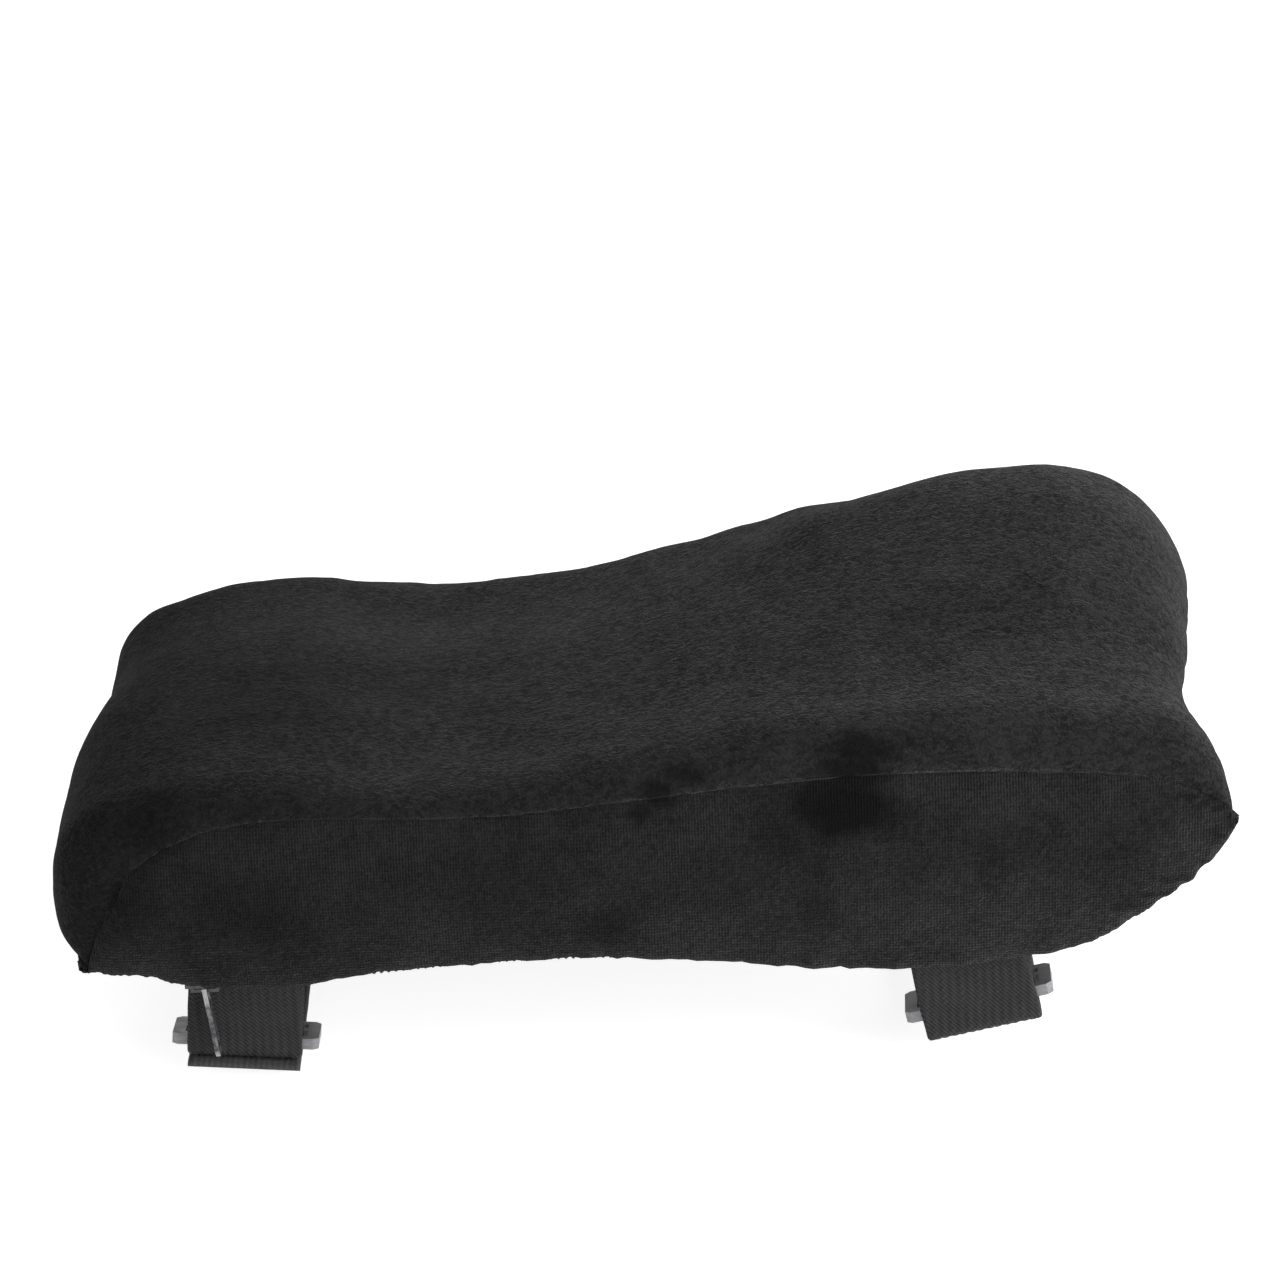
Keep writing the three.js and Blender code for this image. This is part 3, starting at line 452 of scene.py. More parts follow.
def foam_cells(name):
    s = Shader(name)
    cells = s.cells(scale=1.6)
    fine = s.noise(scale=1.2, detail=4, rough=0.7)
    colour = s.mix(s.ramp(cells, over=(0.0, 0.6)), dark=(0.42, 0.37, 0.27, 1),
                   pale=(0.74, 0.69, 0.56, 1))
    s.set(Base_Color=colour, Roughness=0.9,
          Normal=s.bump(s.add(cells, fine), distance=0.0003, strength=0.8))
    return s.material


def sewing_thread(name):
    s = Shader(name)
    ply = s.wave(scale=2.4, direction="DIAGONAL", distortion=0.4)
    fuzz = s.noise(scale=3.0, detail=3, rough=0.7)
    colour = s.mix(s.ramp(fuzz, over=(0.3, 0.7)), dark=(0.0035, 0.0035, 0.004, 1),
                   pale=(0.016, 0.016, 0.017, 1))
    s.set(Base_Color=colour, Roughness=0.8,
          Normal=s.bump(s.add(ply, fuzz), distance=0.00008, strength=0.8))
    return s.material


def nylon(name):
    s = Shader(name)
    grain = s.noise(scale=2.0, detail=3, rough=0.6)
    colour = s.mix(s.ramp(grain, over=(0.3, 0.7)), dark=(0.009, 0.009, 0.010, 1),
                   pale=(0.022, 0.022, 0.024, 1))
    s.set(Base_Color=colour, Roughness=s.ramp(grain, over=(0.3, 0.7), to=(0.35, 0.5)),
          Normal=s.bump(grain, distance=0.00004, strength=0.6))
    return s.material


VELOUR_TOP = velour("velour_nap", knit=False)
VELOUR_SIDE = velour("velour_knit", knit=True)
WEBBING = woven("woven_webbing", rib=WEB_RIB, twill_scale=0.62,
                dark=(0.0022, 0.0022, 0.0024, 1), pale=(0.033, 0.033, 0.034, 1))
ELASTIC = woven("knitted_elastic", rib=ELASTIC_RIB, twill_scale=0.9,
                dark=(0.018, 0.018, 0.019, 1), pale=(0.110, 0.110, 0.113, 1))
TAPE = woven("zip_tape_weave", rib=0.8, twill_scale=1.1,
             dark=(0.006, 0.006, 0.0065, 1), pale=(0.020, 0.020, 0.021, 1))
PLASTIC = acetal("moulded_acetal")
METAL = zinc("lacquered_zinc_worn_highlit", bright=True)
METAL_DARK = zinc("lacquered_zinc_dark", bright=False)
FOAM = foam_cells("foam_cells")
THREAD = sewing_thread("sewing_thread")
NYLON = nylon("nylon_coil")


# ------------------------------------------------------------------ mesh helpers
def link(name, data):
    obj = bpy.data.objects.new(name, data)
    bpy.context.scene.collection.objects.link(obj)
    return obj


def shade_smooth(mesh):
    for polygon in mesh.polygons:
        polygon.use_smooth = True


def mesh_object(name, verts, faces, material):
    mesh = bpy.data.meshes.new(name)
    mesh.from_pydata([tuple(float(c) * MM for c in v) for v in verts], [], faces)
    mesh.validate()
    mesh.update()
    obj = link(name, mesh)
    mesh.materials.append(material)
    shade_smooth(mesh)
    return obj


def sheet(name, P, material, thick):
    """A sheet from a grid of points (nu, nv, 3), outer face first, with its thickness behind."""
    nu, nv = P.shape[:2]
    faces = [(i * nv + j, (i + 1) * nv + j, (i + 1) * nv + j + 1, i * nv + j + 1)
             for i in range(nu - 1) for j in range(nv - 1)]
    obj = mesh_object(name, P.reshape(-1, 3), faces, material)
    solid = obj.modifiers.new("thickness", "SOLIDIFY")
    solid.thickness = thick * MM
    solid.offset = -1
    solid.use_even_offset = False
    return obj


def ringed(name, verts, count, ring, caps, material):
    """A closed strip made of count rings of vertices, with the given end caps."""
    faces = []
    for i in range(count - 1):
        for j in range(ring):
            a, b = i * ring + j, i * ring + (j + 1) % ring
            faces.append((a, b, b + ring, a + ring))
    obj = mesh_object(name, verts, faces + caps, material)
    bm = bmesh.new()
    bm.from_mesh(obj.data)
    bmesh.ops.recalc_face_normals(bm, faces=bm.faces)
    bm.to_mesh(obj.data)
    bm.free()
    return obj


def tube(name, points, radius, material, res):
    """A round cord along the points, turned into a mesh."""
    curve = bpy.data.curves.new(name, "CURVE")
    curve.dimensions = "3D"
    spline = curve.splines.new("POLY")
    spline.points.add(len(points) - 1)
    for p, (x, y, z) in zip(spline.points, points):
        p.co = (x * MM, y * MM, z * MM, 1)
    curve.bevel_depth = radius * MM
    curve.bevel_resolution = res
    curve.use_fill_caps = True
    cord = link(name, curve)
    curve.materials.append(material)
    graph = bpy.context.evaluated_depsgraph_get()
    graph.update()
    mesh = bpy.data.meshes.new_from_object(cord.evaluated_get(graph))
    final_name = cord.name
    obj = link(final_name + "_m", mesh)
    bpy.data.objects.remove(cord)
    obj.name = final_name
    shade_smooth(mesh)
    return obj


def on_pad(obj, slot, *cad):
    """Fix the object to the pad, in place of the named CAD pieces."""
    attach(obj, "pad")
    if cad:
        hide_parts(*cad)


def normals(P):
    n = np.cross(np.gradient(P, axis=0), np.gradient(P, axis=1))
    return n / np.maximum(np.linalg.norm(n, axis=2, keepdims=True), 1e-9)


def arc_from(P, axis):
    """Distance along the surface from the grid's first row or column."""
    d = np.linalg.norm(np.diff(P, axis=axis), axis=2)
    zero = np.zeros_like(np.take(d, [0], axis=axis))
    return np.concatenate([zero, np.cumsum(d, axis=axis)], axis=axis)


def stations(*runs):
    """Join runs of (start, stop, count) that share their ends."""
    parts = [np.linspace(*run) for run in runs]
    return np.concatenate([p[:-1] for p in parts[:-1]] + [parts[-1]])


# ------------------------------------------------------------------ the cover's surface
def near_to(dist, reach):
    """A bell: 1 at zero distance, fading over the reach."""
    return np.exp(-(dist / reach) ** 2)


def groove(dist, depth=0.31, width=0.75):
    return depth * near_to(dist, width)


def gathers(coord, dist, seed, amp=0.28, reach=7.0, wave=8.5):
    """Small puckers that run away from a seam and fade."""
    out = np.zeros_like(coord)
    for i in np.ndindex(coord.shape):
        c, d = float(coord[i]), float(dist[i])
        if d > reach * 2.2:
            continue
        v = noise.noise(Vector((c / wave, seed * 7.3, d / 22.0)))
        w = noise.noise(Vector((c / (wave * 0.45), seed * 3.1 + 9, d / 16.0)))
        out[i] = amp * (v + 0.55 * w) * 1.6 * exp(-(d / reach) ** 2)
    return out


def field(P, scale, seed):
    out = np.empty(P.shape[:2])
    for i in np.ndindex(out.shape):
        x, y, z = P[i]
        out[i] = noise.noise(Vector((x / scale + seed, y / scale, z / scale - seed)))
    return out


def ripple(x, seed):
    return noise.noise(Vector((x + seed, -2 * seed, 3 * seed)))


def top_panel():
    t = np.linspace(-1, 1, 119)
    # columns crowd towards both long edges
    y = HALF_W * np.sin(pi / 2 * t) * 0.15 + HALF_W * 0.85 * np.sign(t) * (1 - (1 - np.abs(t)) ** 1.7)
    y = HALF_W * y / np.abs(y).max()
    P = np.array([top_row(float(u), y) for u in stations((0, 6, 60), (6, 19, 118), (19, 26, 80))])
    n = normals(P)
    from_near = arc_from(P, 1)
    side = np.minimum(from_near, from_near[:, -1:] - from_near)
    from_wrist = arc_from(P, 0)
    from_elbow = from_wrist[-1:, :] - from_wrist
    end = np.minimum(from_wrist, from_elbow)
    lift = -groove(side) - groove(end, depth=0.5, width=1.0)
    lift += gathers(P[:, :, 0] + 0.6 * P[:, :, 2], side, seed=1.0)
    lift += gathers(P[:, :, 1], end, seed=2.0, amp=0.35, wave=7)
    lift += 0.42 * field(P, 26, 3.0) + 0.16 * field(P, 9, 5.0) + 0.05 * field(P, 2.2, 8.0)
    # the corners stay neat
    lift *= 0.2 + 0.8 * smooth(1, 7, np.hypot(side, end))
    P = P + n * lift[:, :, None]
    # both end edges tuck in behind the underside's edge, where the seam allowance lies
    for dist, fall, draw in ((from_elbow, 1.7, -0.6), (from_wrist, 0.9, 0.5)):
        tuck = near_to(dist, 1.1)
        P[:, :, 2] -= fall * tuck
        P[:, :, 0] += draw * tuck
    return sheet("cover_top", P, VELOUR_TOP, thick=1.3)


def side_panel(sign, name):
    """A side panel; sign is -1 at the near side and 1 at the far side."""
    us = stations((0.02, 5, 55), (5, 20, 130), (20, 25.98, 70))
    # the far panel runs the other way, so that its outer face is also first
    if sign > 0:
        us = us[::-1]
    v = 0.5 - 0.5 * np.cos(np.linspace(0, pi, 56))
    P = np.array([side_row(float(u), v, sign) for u in us])
    x, z = P[:, :, 0], P[:, :, 2]
    n = normals(P)
    low = arc_from(P, 1)
    high = low[:, -1:] - low
    end = np.minimum(np.abs(x + 117.5), np.abs(x - 124.8))
    lift = -groove(high) - 0.5 * groove(low, depth=0.5, width=0.9)
    lift += gathers(x, high, seed=4.0 + sign)
    lift += gathers(x, low, seed=6.0 + sign, amp=0.42, reach=6, wave=6.5)
    # tight gathers round the raised prow
    prow = smooth(96, 104, x) * (1 - smooth(121, 124, x))
    slant = x + 0.55 * z
    lift += (prow * 0.52 * np.sin(2 * pi * slant / 7.4 + 1.1 * np.sin(x / 3.7))
             * near_to(low, 7.0))
    corner = 1 - smooth(-114, -100, x)
    lift += corner * 0.28 * np.sin(2 * pi * (z + x) / 6.2) * near_to(high, 5)
    lift += (0.5 * field(P, 24, 13.0 + sign) + 0.2 * field(P, 8, 15.0 + sign)
             + 0.06 * field(P, 2.2, 18.0))
    # at both seams the puckers go sideways only, so that no lump hangs from the edge
    flat = smooth(0.4, 2.8, np.minimum(low, high))
    n[:, :, 0] *= flat
    n[:, :, 2] *= flat
    n[:, :, 1] = np.where(np.abs(n[:, :, 1]) < 0.3, sign * 0.3, n[:, :, 1])
    n /= np.maximum(np.linalg.norm(n, axis=2, keepdims=True), 1e-9)
    lift *= 0.3 + 0.7 * smooth(0, 5, end)
    P = P + n * lift[:, :, None]
    # the hem is a little uneven
    jag = np.array([[0.5 * ripple(float(p[0]) / 3.0, 4.0) + 0.35 * ripple(float(p[0]) / 0.9, 9.0)
                     for p in row] for row in P])
    P[:, :, 2] += near_to(low, 1.6) * (jag - 0.15)
    return sheet(name, P, VELOUR_SIDE, thick=1.3)


def bottom_panel():
    margin = (HALF_W - FLAT_HALF) * np.linspace(0, 1, 24)
    middle = np.linspace(-FLAT_HALF, FLAT_HALF, 34)[1:-1]
    y = np.concatenate([-HALF_W + margin, middle, FLAT_HALF + margin])
    y = np.clip(y, -56.9, 56.9)
    P = np.array([bottom_row(float(u), -y) for u in stations((0, 6, 34), (6, 19, 90), (19, 26, 60))])
    n = normals(P)
    side = HALF_W - np.abs(P[:, :, 1])
    from_wrist = arc_from(P, 0)
    from_elbow = from_wrist[-1:, :] - from_wrist
    end = np.minimum(from_wrist, from_elbow)
    lift = -groove(side, depth=0.5, width=1.2) - groove(end, depth=0.7, width=1.4)
    lift += gathers(P[:, :, 1], end, seed=21.0, amp=0.5, reach=9, wave=9)
    lift += gathers(P[:, :, 0], side, seed=22.0, amp=0.18, reach=6)
    lift += 0.22 * field(P, 20, 31.0) + 0.1 * field(P, 7, 33.0)
    lift = np.minimum(lift, 0.25)
    lift = lift * smooth(1.5, 7, side) * smooth(0, 4, end) - 0.3 * (1 - smooth(1.5, 5, side))
    P = P + n * lift[:, :, None]
    P[:, :, 2] += 0.7 * (1 - smooth(1.2, 4.5, side))
    P[:, :, 2] += 0.6 * near_to(from_elbow, 1.6)
    return sheet("cover_underside", P, VELOUR_SIDE, thick=1.2)


on_pad(top_panel(), "velour", "top_panel")
on_pad(side_panel(-1, "cover_side_near"), "velour", "side_panel_near")
on_pad(side_panel(1, "cover_side_far"), "velour", "side_panel_far")
on_pad(bottom_panel(), "velour", "bottom_panel")


# ------------------------------------------------------------------ lockstitch in the seams
def seam_thread(name, points):
    on_pad(tube(name, points, radius=0.22, material=THREAD, res=2), "thread")


def side_seam(sign, name):
    line = []
    for u in np.linspace(0.1, 25.9, 420):
        x, z = at(TOP_SEAM, float(u))
        line.append(shaped(np.array([x, sign * (HALF_W - 0.55), z - 0.1], float)))
    seam_thread(name, line)


def end_seam(name, station, shift, rise):
    line = top_row(station, np.linspace(-53, 53, 60))
    line[:, 0] += shift
    line[:, 2] += rise
    seam_thread(name, line)


side_seam(-1, "seam_top_near")
side_seam(1, "seam_top_far")
end_seam("seam_elbow_end", LAST, shift=-0.6, rise=0.1)
end_seam("seam_wrist_end", 0, shift=0.6, rise=0.3)


# ------------------------------------------------------------------ foam block
def foam_block():
    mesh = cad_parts["foam_core"].data.copy()
    foam = link("foam_block", mesh)
    mesh.materials.clear()
    mesh.materials.append(FOAM)
    skin = foam.modifiers.new("skin", "REMESH")
    skin.mode = "VOXEL"
    skin.voxel_size = 0.0025
    foam.modifiers.new("ease", "SMOOTH").iterations = 4
    on_pad(foam, "foam", "foam_core")


foam_block()

# ------------------------------------------------------------------ zip
TAPE_Z0, TAPE_Z1 = 2.8, 3.4
TAPE_ROWS, TAPE_COLUMNS = 420, 7
TAPE_RIB = 0.05          # height of the tape's ribs
COIL_PITCH = 1.6
COIL_REACH = 0.95        # half the width of one coil
COIL_Z, COIL_RISE = 1.75, 0.55
COIL_TURN = 8            # points per turn


def hem_rise(x):
    """The zip bows up with the hem at the waist."""
    u = np.interp(x, [q[0] for q in HEM[6:]], np.arange(6, LAST + 1))
    rise = min(max(float(at(HEM, float(u))[1]) - 2.9, 0.0), 2.3)
    return rise * float(smooth(-92, -70, x) * (1 - smooth(30, 50, x)))


def zip_tape(name, y0, y1, cad):
    """A thin woven strip along X with a slightly uneven surface and rounded long edges."""
    ys = np.linspace(y0, y1, TAPE_COLUMNS)
    ring = [(y, TAPE_Z0, -1) for y in ys] + [(y, TAPE_Z1, 1) for y in ys[::-1]]
    mid = (TAPE_Z0 + TAPE_Z1) / 2
    verts = []
    for x in np.linspace(ZIP_X0, ZIP_X1, TAPE_ROWS):
        for y, z, face in ring:
            edge = min(y - y0, y1 - y) / ((y1 - y0) / 2)
            full = 0.5 + 0.5 * sqrt(max(0.0, 1 - (1 - min(edge * 3, 1)) ** 2))
            rib = TAPE_RIB * sin(2 * pi * x / 1.25) * (0.6 + 0.4 * cos(2 * pi * y / 0.9))
            verts.append((x, y, mid + (z - mid) * full + face * rib + hem_rise(x)))
    size = len(ring)
    caps = [tuple(range(size - 1, -1, -1)),
            tuple(range((TAPE_ROWS - 1) * size, TAPE_ROWS * size))]
    on_pad(ringed(name, verts, TAPE_ROWS, size, caps, TAPE), "zip_tape", cad)


def zip_coil(name, sign, cad):
    """One half of the zip: a flattened spiral that starts at the zip's middle line."""
    points = []
    x = ZIP_X0 + 3.4 + (0 if sign < 0 else COIL_PITCH / 2)
    while x < ZIP_X1 - 3.6:
        for k in range(COIL_TURN):
            a = 2 * pi * k / COIL_TURN
            points.append((x + COIL_PITCH * k / COIL_TURN,
                           ZIP_Y + sign * (COIL_REACH - COIL_REACH * cos(a)),
                           COIL_Z + COIL_RISE * sin(a) + hem_rise(x)))
        x += COIL_PITCH
    on_pad(tube(name, points, radius=0.27, material=NYLON, res=1), "zip_coil", cad)


zip_tape("zip_tape_a", -56.2, -54.0, "zip_tape_outer")
zip_tape("zip_tape_b", -53.1, -50.6, "zip_tape_inner")
zip_coil("zip_teeth_a", -1, "zip_coil_outer")
zip_coil("zip_teeth_b", 1, "zip_coil_inner")


# ------------------------------------------------------------------ hardware kept from the CAD
def finish_part(name, material, width, segments):
    """Give a CAD piece its material and ease its edges."""
    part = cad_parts[name]
    for slot in part.material_slots:
        slot.link = "OBJECT"
        slot.material = material
    bevel = part.modifiers.new("eased", "BEVEL")
    bevel.width = width
    bevel.segments = segments
    bevel.limit_method = "ANGLE"
    bevel.angle_limit = radians(35)
    return part


for part_name, metal in (("zip_slider", METAL_DARK), ("zip_pull", METAL),
                         ("zip_top_stop", METAL_DARK), ("zip_bottom_stop", METAL_DARK)):
    finish_part(part_name, metal, width=0.00016, segments=3)
for part_name in ("front_tri_glide", "rear_tri_glide"):
    glide = finish_part(part_name, PLASTIC, width=0.0006, segments=4)
    glide.modifiers.new("wn", "WEIGHTED_NORMAL")

# ------------------------------------------------------------------ slings
STRAP_W, WEB_T, BAND_T = 25.0, 1.5, 1.2
SEWN_Z = -0.3 - WEB_T / 2    # middle of the straps where they are sewn under the pad
BEND = 1.6                   # radius where a strap turns down from the pad
FAR_Y = 48.9                 # where the elastic hangs down at the far side
LOW_BEND = 4.2               # radius of the elastic's lower far bend
TACK_HALF, TACK_STEP = 11.4, 0.42
# the glide's middle, and places along it that rise towards +Y
GLIDE_Y, GLIDE_T = -41.3, 2.4
GLIDE_MID, GLIDE_LOOP, GLIDE_OVER, GLIDE_UP = 7.0, 1.2, 8.05, 10.35


def arc(cy, cz, radius, start, end, count):
    return [(cy + radius * cos(radians(a)), cz + radius * sin(radians(a)))
            for a in np.linspace(start, end, count + 1)]


def resample(line, step):
    """Even points along the line, and their distances from its start."""
    P = np.array(line, float)
    # round the corners a little before the band is laid along the line
    for _ in range(2):
        cut = [P[0]]
        for a, b in zip(P[:-1], P[1:]):
            cut += [0.75 * a + 0.25 * b, 0.25 * a + 0.75 * b]
        P = np.array(cut + [P[-1]])
    d = np.concatenate([[0], np.cumsum(np.linalg.norm(np.diff(P, axis=0), axis=1))])
    s = np.linspace(0, d[-1], max(3, int(d[-1] / step)))
    return np.stack([np.interp(s, d, P[:, 0]), np.interp(s, d, P[:, 1])], -1), s


def web_relief(s, w):
    rib = np.abs(np.sin(pi * w / WEB_RIB)) ** 0.6
    flip = np.where(np.floor(w / WEB_RIB) % 2 == 0, 1.0, -1.0)
    twill = np.sin(2 * pi * (s / 1.45 + flip * (w % WEB_RIB) / WEB_RIB * 0.9))
    return 0.11 * rib + 0.10 * twill * rib


def elastic_relief(s, w):
    cord = np.abs(np.sin(pi * w / ELASTIC_RIB)) ** 0.7
    row = np.sin(2 * pi * s / 0.95 + 0.8 * np.sin(w * 1.7))
    return 0.09 * cord + 0.07 * row


def band(name, line, centre_x, tilt, width, thick, material, relief, step):
    """A woven strap laid along a (y, z) line; its hanging part leans by tilt degrees."""
    path, distances = resample(line, step)
    tangent = np.gradient(path, axis=0)
    tangent /= np.maximum(np.linalg.norm(tangent, axis=1, keepdims=True), 1e-9)
    columns = int(width / step) + 1
    w = np.linspace(-width / 2, width / 2, columns)
    edge = width / 2 - np.abs(w)
    round_edge = np.sqrt(np.clip(1 - (1 - np.clip(edge / 0.9, 0, 1)) ** 2, 0, 1))
    selvedge = 0.13 * np.exp(-((edge - 1.1) / 0.55) ** 2)
    verts = []
    for (y, z), (ty, tz), s in zip(path, tangent, distances):
        wander = 0.10 * noise.noise(Vector((s / 6, tilt, centre_x)))
        for face in (1, -1):
            row, full, lip = w[::face], round_edge[::face], selvedge[::face]
            height = (thick / 2 - 0.16) * (0.35 + 0.65 * full) + full * (relief(s, row) + lip)
            off = face * height
            verts.append(np.stack([centre_x + row + wander, y - tz * off, z + ty * off], -1))
    V = np.concatenate(verts)
    lean = tan(radians(tilt))
    drop = np.maximum(0, -V[:, 2] - 2.2)
    x = V[:, 0].copy()
    V[:, 0] = x + lean * drop
    V[:, 2] = V[:, 2] + lean * (x - centre_x) * np.clip(drop / 8, 0, 1)
    ring = 2 * columns
    caps = []
    for base, flip in ((0, False), ((len(path) - 1) * ring, True)):
        for j in range(columns - 1):
            quad = (base + j, base + j + 1, base + ring - 2 - j, base + ring - 1 - j)
            caps.append(quad[::-1] if flip else quad)
    return ringed(name, V, len(path), ring, caps, material)


def hang_from_pad(obj, prefix, x, y, slot, *cad):
    """The strap is kept where it was built, in world space, and the named CAD pieces are hidden."""
    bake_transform(obj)
    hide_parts(*cad)


def bar_tack(name, centre_x, y, cad):
    """A dense zigzag through a sewn end."""
    points = []
    x = centre_x - TACK_HALF
    side = 1
    while x < centre_x + TACK_HALF:
        points.append((x, y + side * 0.9, SEWN_Z - WEB_T / 2 - 0.22))
        x += TACK_STEP
        side = -side
    on_pad(tube(name, points, radius=0.2, material=THREAD, res=1), "thread", cad)


def sling(prefix, centre_x, tilt, glide_z, pitch_deg, band_z, fold_z, tail):
    """A webbing loop at the near side, and an elastic band from the glide to the far side."""
    pitch = radians(pitch_deg)

    def glide_at(s, h=0.0):
        return (GLIDE_Y + (s - GLIDE_MID) * cos(pitch) + h * sin(pitch),
                glide_z - (s - GLIDE_MID) * sin(pitch) + h * cos(pitch))

    loop_y = glide_at(GLIDE_LOOP)[0]
    radius = 2.0 + WEB_T / 2
    outer, inner = loop_y - radius, loop_y + radius
    loop = ([(-31, SEWN_Z), (-38, SEWN_Z), (outer + 2 * BEND, SEWN_Z)]
            + arc(outer + BEND, SEWN_Z - BEND, BEND, 100, 180, 4)
            + [(outer, SEWN_Z - 5), (outer, SEWN_Z - 9), (outer, fold_z)]
            + arc(loop_y, fold_z, radius, 200, 360, 10)
            + [(inner, fold_z + 2), (inner, -9), (inner, SEWN_Z - WEB_T - 0.5)])
    webbing = band(prefix + "_webbing_loop", loop, centre_x, tilt, STRAP_W, WEB_T, WEBBING,
                   web_relief, step=0.30)
    hang_from_pad(webbing, prefix, centre_x, outer, "webbing", prefix + "_anchor_loop")

    up = glide_at(GLIDE_UP)[0] - 0.15
    down = glide_at(GLIDE_MID, -GLIDE_T / 2)[0] - 0.3 - BAND_T / 2
    over = glide_at(GLIDE_OVER)[1] + GLIDE_T / 2 + 0.45 + BAND_T / 2
    run = band_z
    bend_y = FAR_Y - LOW_BEND
    line = ([(31, SEWN_Z), (38, SEWN_Z), (FAR_Y - 2 * BEND, SEWN_Z)]
            + arc(FAR_Y - BEND, SEWN_Z - BEND, BEND, 80, 0, 4)
            + [(FAR_Y, -8), (FAR_Y, -13), (FAR_Y, run + LOW_BEND)]
            + arc(bend_y, run + LOW_BEND, LOW_BEND, -10, -80, 6)
            + [(bend_y - 3, run), (20, run + 0.25), (0, run + 0.35), (-20, run + 0.2),
               (-33.5, run), (-35.2, run + 0.08), (up + 0.5, run + 0.75), (up, run + 2.2),
               (up, over - 1.2), (up - 0.5, over - 0.1), (up - 1.4, over + 0.1),
               (down + 1.3, over + 0.4), (down + 0.3, over + 0.1), (down, over - 1.1)]
            + tail(down))
    elastic = band(prefix + "_elastic_band", line, centre_x, tilt, STRAP_W - 0.4, BAND_T, ELASTIC,
                   elastic_relief, step=0.36)
    hang_from_pad(elastic, prefix, centre_x, FAR_Y, "elastic",
                  prefix + "_elastic_run", prefix + "_elastic_riser")

    bar_tack(prefix + "_bar_tack_near", centre_x, -37.4, prefix + "_tack_near")
    bar_tack(prefix + "_bar_tack_far", centre_x, 37.4, prefix + "_tack_far")


def front_tail(y):
    return [(y, -23.1), (y - 0.35, -24.0), (y - 1.3, -24.5), (-45.8, -24.4), (-49.3, -23.7),
            (-50.6, -23.95), (-50.9, -24.5)]


def rear_tail(y):
    return [(y, -19.0), (y + 0.1, -21.6)]


sling("front", centre_x=-88.0, tilt=-5, glide_z=-21.3, pitch_deg=16, band_z=-25.4, fold_z=-19.7,
      tail=front_tail)
sling("rear", centre_x=68.6, tilt=12, glide_z=-16.9, pitch_deg=12, band_z=-20.6, fold_z=-18.75,
      tail=rear_tail)


# ------------------------------------------------------------------ stage and light (metres)
def camera_glow(tree, socket, extra, base):
    """A strength of base for the light on the pad, and extra more as the camera sees it."""
    path = tree.nodes.new("ShaderNodeLightPath")
    glow = tree.nodes.new("ShaderNodeMath")
    glow.operation = "MULTIPLY_ADD"
    glow.inputs[1].default_value = extra
    glow.inputs[2].default_value = base
    tree.links.new(path.outputs["Is Camera Ray"], glow.inputs[0])
    tree.links.new(glow.outputs[0], socket)


def floor_material():
    material = bpy.data.materials.new("floor_pale")
    material.use_nodes = True
    tree = material.node_tree
    pale = tree.nodes["Principled BSDF"]
    pale.inputs["Base Color"].default_value = (0.5, 0.5, 0.5, 1)
    pale.inputs["Emission Color"].default_value = (1, 1, 1, 1)
    pale.inputs["Roughness"].default_value = 0.9
    camera_glow(tree, pale.inputs["Emission Strength"], extra=0.19, base=0.66)
    # seen from below the floor is clear, so that the underside can be looked at
    facing = tree.nodes.new("ShaderNodeNewGeometry")
    clear = tree.nodes.new("ShaderNodeBsdfTransparent")
    either = tree.nodes.new("ShaderNodeMixShader")
    tree.links.new(facing.outputs["Backfacing"], either.inputs[0])
    tree.links.new(pale.outputs[0], either.inputs[1])
    tree.links.new(clear.outputs[0], either.inputs[2])
    tree.links.new(either.outputs[0], tree.nodes["Material Output"].inputs["Surface"])
    return material


def floor_sheet():
    z = float(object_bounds()[0][2]) - 0.0002
    mesh = bpy.data.meshes.new("floor")
    mesh.from_pydata([(-6, -6, z), (6, -6, z), (6, 9, z), (-6, 9, z)], [], [(0, 1, 2, 3)])
    sheet_object = link("floor", mesh)
    mesh.materials.append(floor_material())


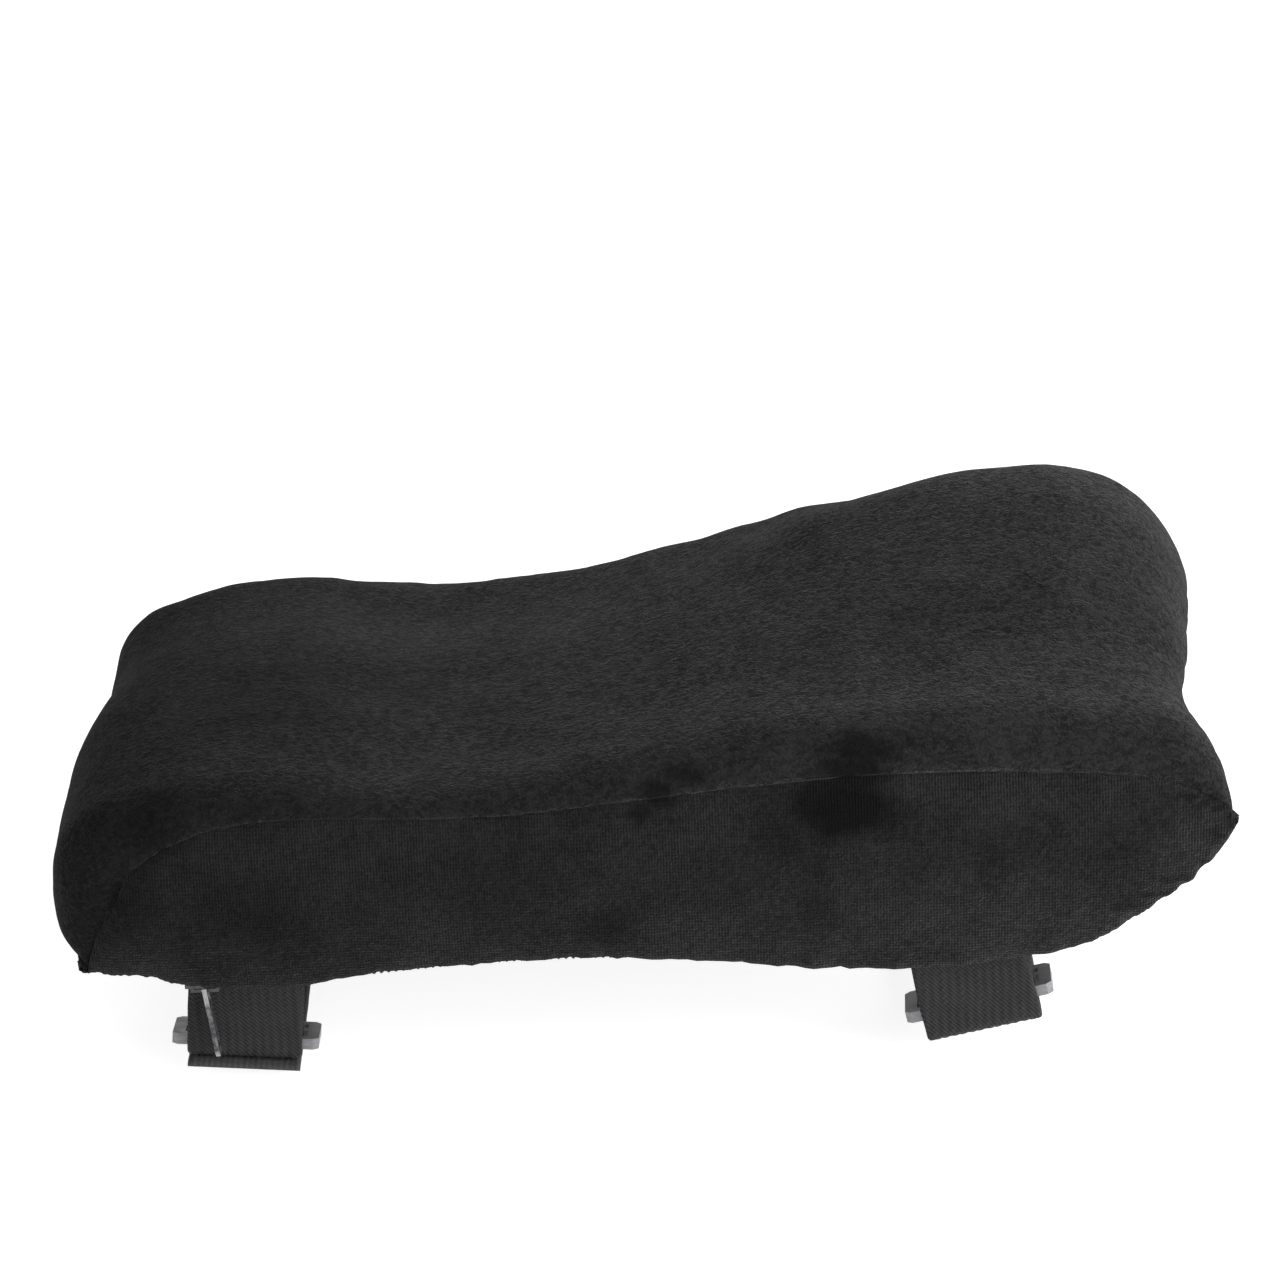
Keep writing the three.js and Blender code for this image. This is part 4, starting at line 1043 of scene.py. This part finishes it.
def studio_world():
    world = bpy.data.worlds.new("studio")
    world.use_nodes = True
    background = world.node_tree.nodes["Background"]
    background.inputs["Color"].default_value = (1, 1, 1, 1)
    # the backdrop past the floor's edge is pale too, but lights the pad only softly
    camera_glow(world.node_tree, background.inputs["Strength"], extra=0.50, base=0.43)
    bpy.context.scene.world = world
    bpy.context.scene.view_settings.view_transform = "Standard"


def area(name, place, target, size, power):
    light = bpy.data.lights.new(name, "AREA")
    light.energy = power
    light.size = size
    lamp = bpy.data.objects.new(name, light)
    lamp.location = place
    lamp.rotation_euler = (Vector(target) - Vector(place)).to_track_quat("-Z", "Y").to_euler()
    bpy.context.scene.collection.objects.link(lamp)


floor_sheet()
studio_world()
area("key", place=(1.06, -0.30, 0.62), target=(0.06, 0, 0.04), size=0.8, power=13.6)
area("back", place=(0.1, 1.2, 0.9), target=(0, 0, 0.04), size=1.2, power=3.0)
area("fill", place=(0.72, -0.77, 0.26), target=(0.06, 0, 0.02), size=0.8, power=7.2)

# ------------------------------------------------------------------ camera (metres)
# It looks down on the near side, and is turned about Y by a small roll.
ELEVATION = radians(27.0)
ROLL = np.arcsin(0.0368)
DISTANCE = 1.050
TARGET = np.array([-0.0026, 0, 0.058])      # before the shift and the roll
SHIFT = np.array([0.0011, 0, 0.00456])
LENS = 135.07109                            # mm, on a 36 mm sensor


def rolled(v):
    x, y, z = v
    return Vector((x * cos(ROLL) + z * sin(ROLL), y, -x * sin(ROLL) + z * cos(ROLL)))


def place_camera():
    eye = TARGET + DISTANCE * np.array([0, -cos(ELEVATION), sin(ELEVATION)])
    right = rolled((1, 0, 0))
    up = rolled((0, sin(ELEVATION), cos(ELEVATION)))
    back = rolled((0, -cos(ELEVATION), sin(ELEVATION)))
    data = bpy.data.cameras.new("camera")
    data.sensor_width = 36.0
    data.lens = LENS
    data.clip_start = 0.05
    data.clip_end = 50
    camera = bpy.data.objects.new("camera", data)
    pose = Matrix((right, up, back)).transposed().to_4x4()
    pose.translation = rolled(eye - SHIFT)
    camera.matrix_world = pose
    bpy.context.scene.collection.objects.link(camera)
    bpy.context.scene.camera = camera


place_camera()
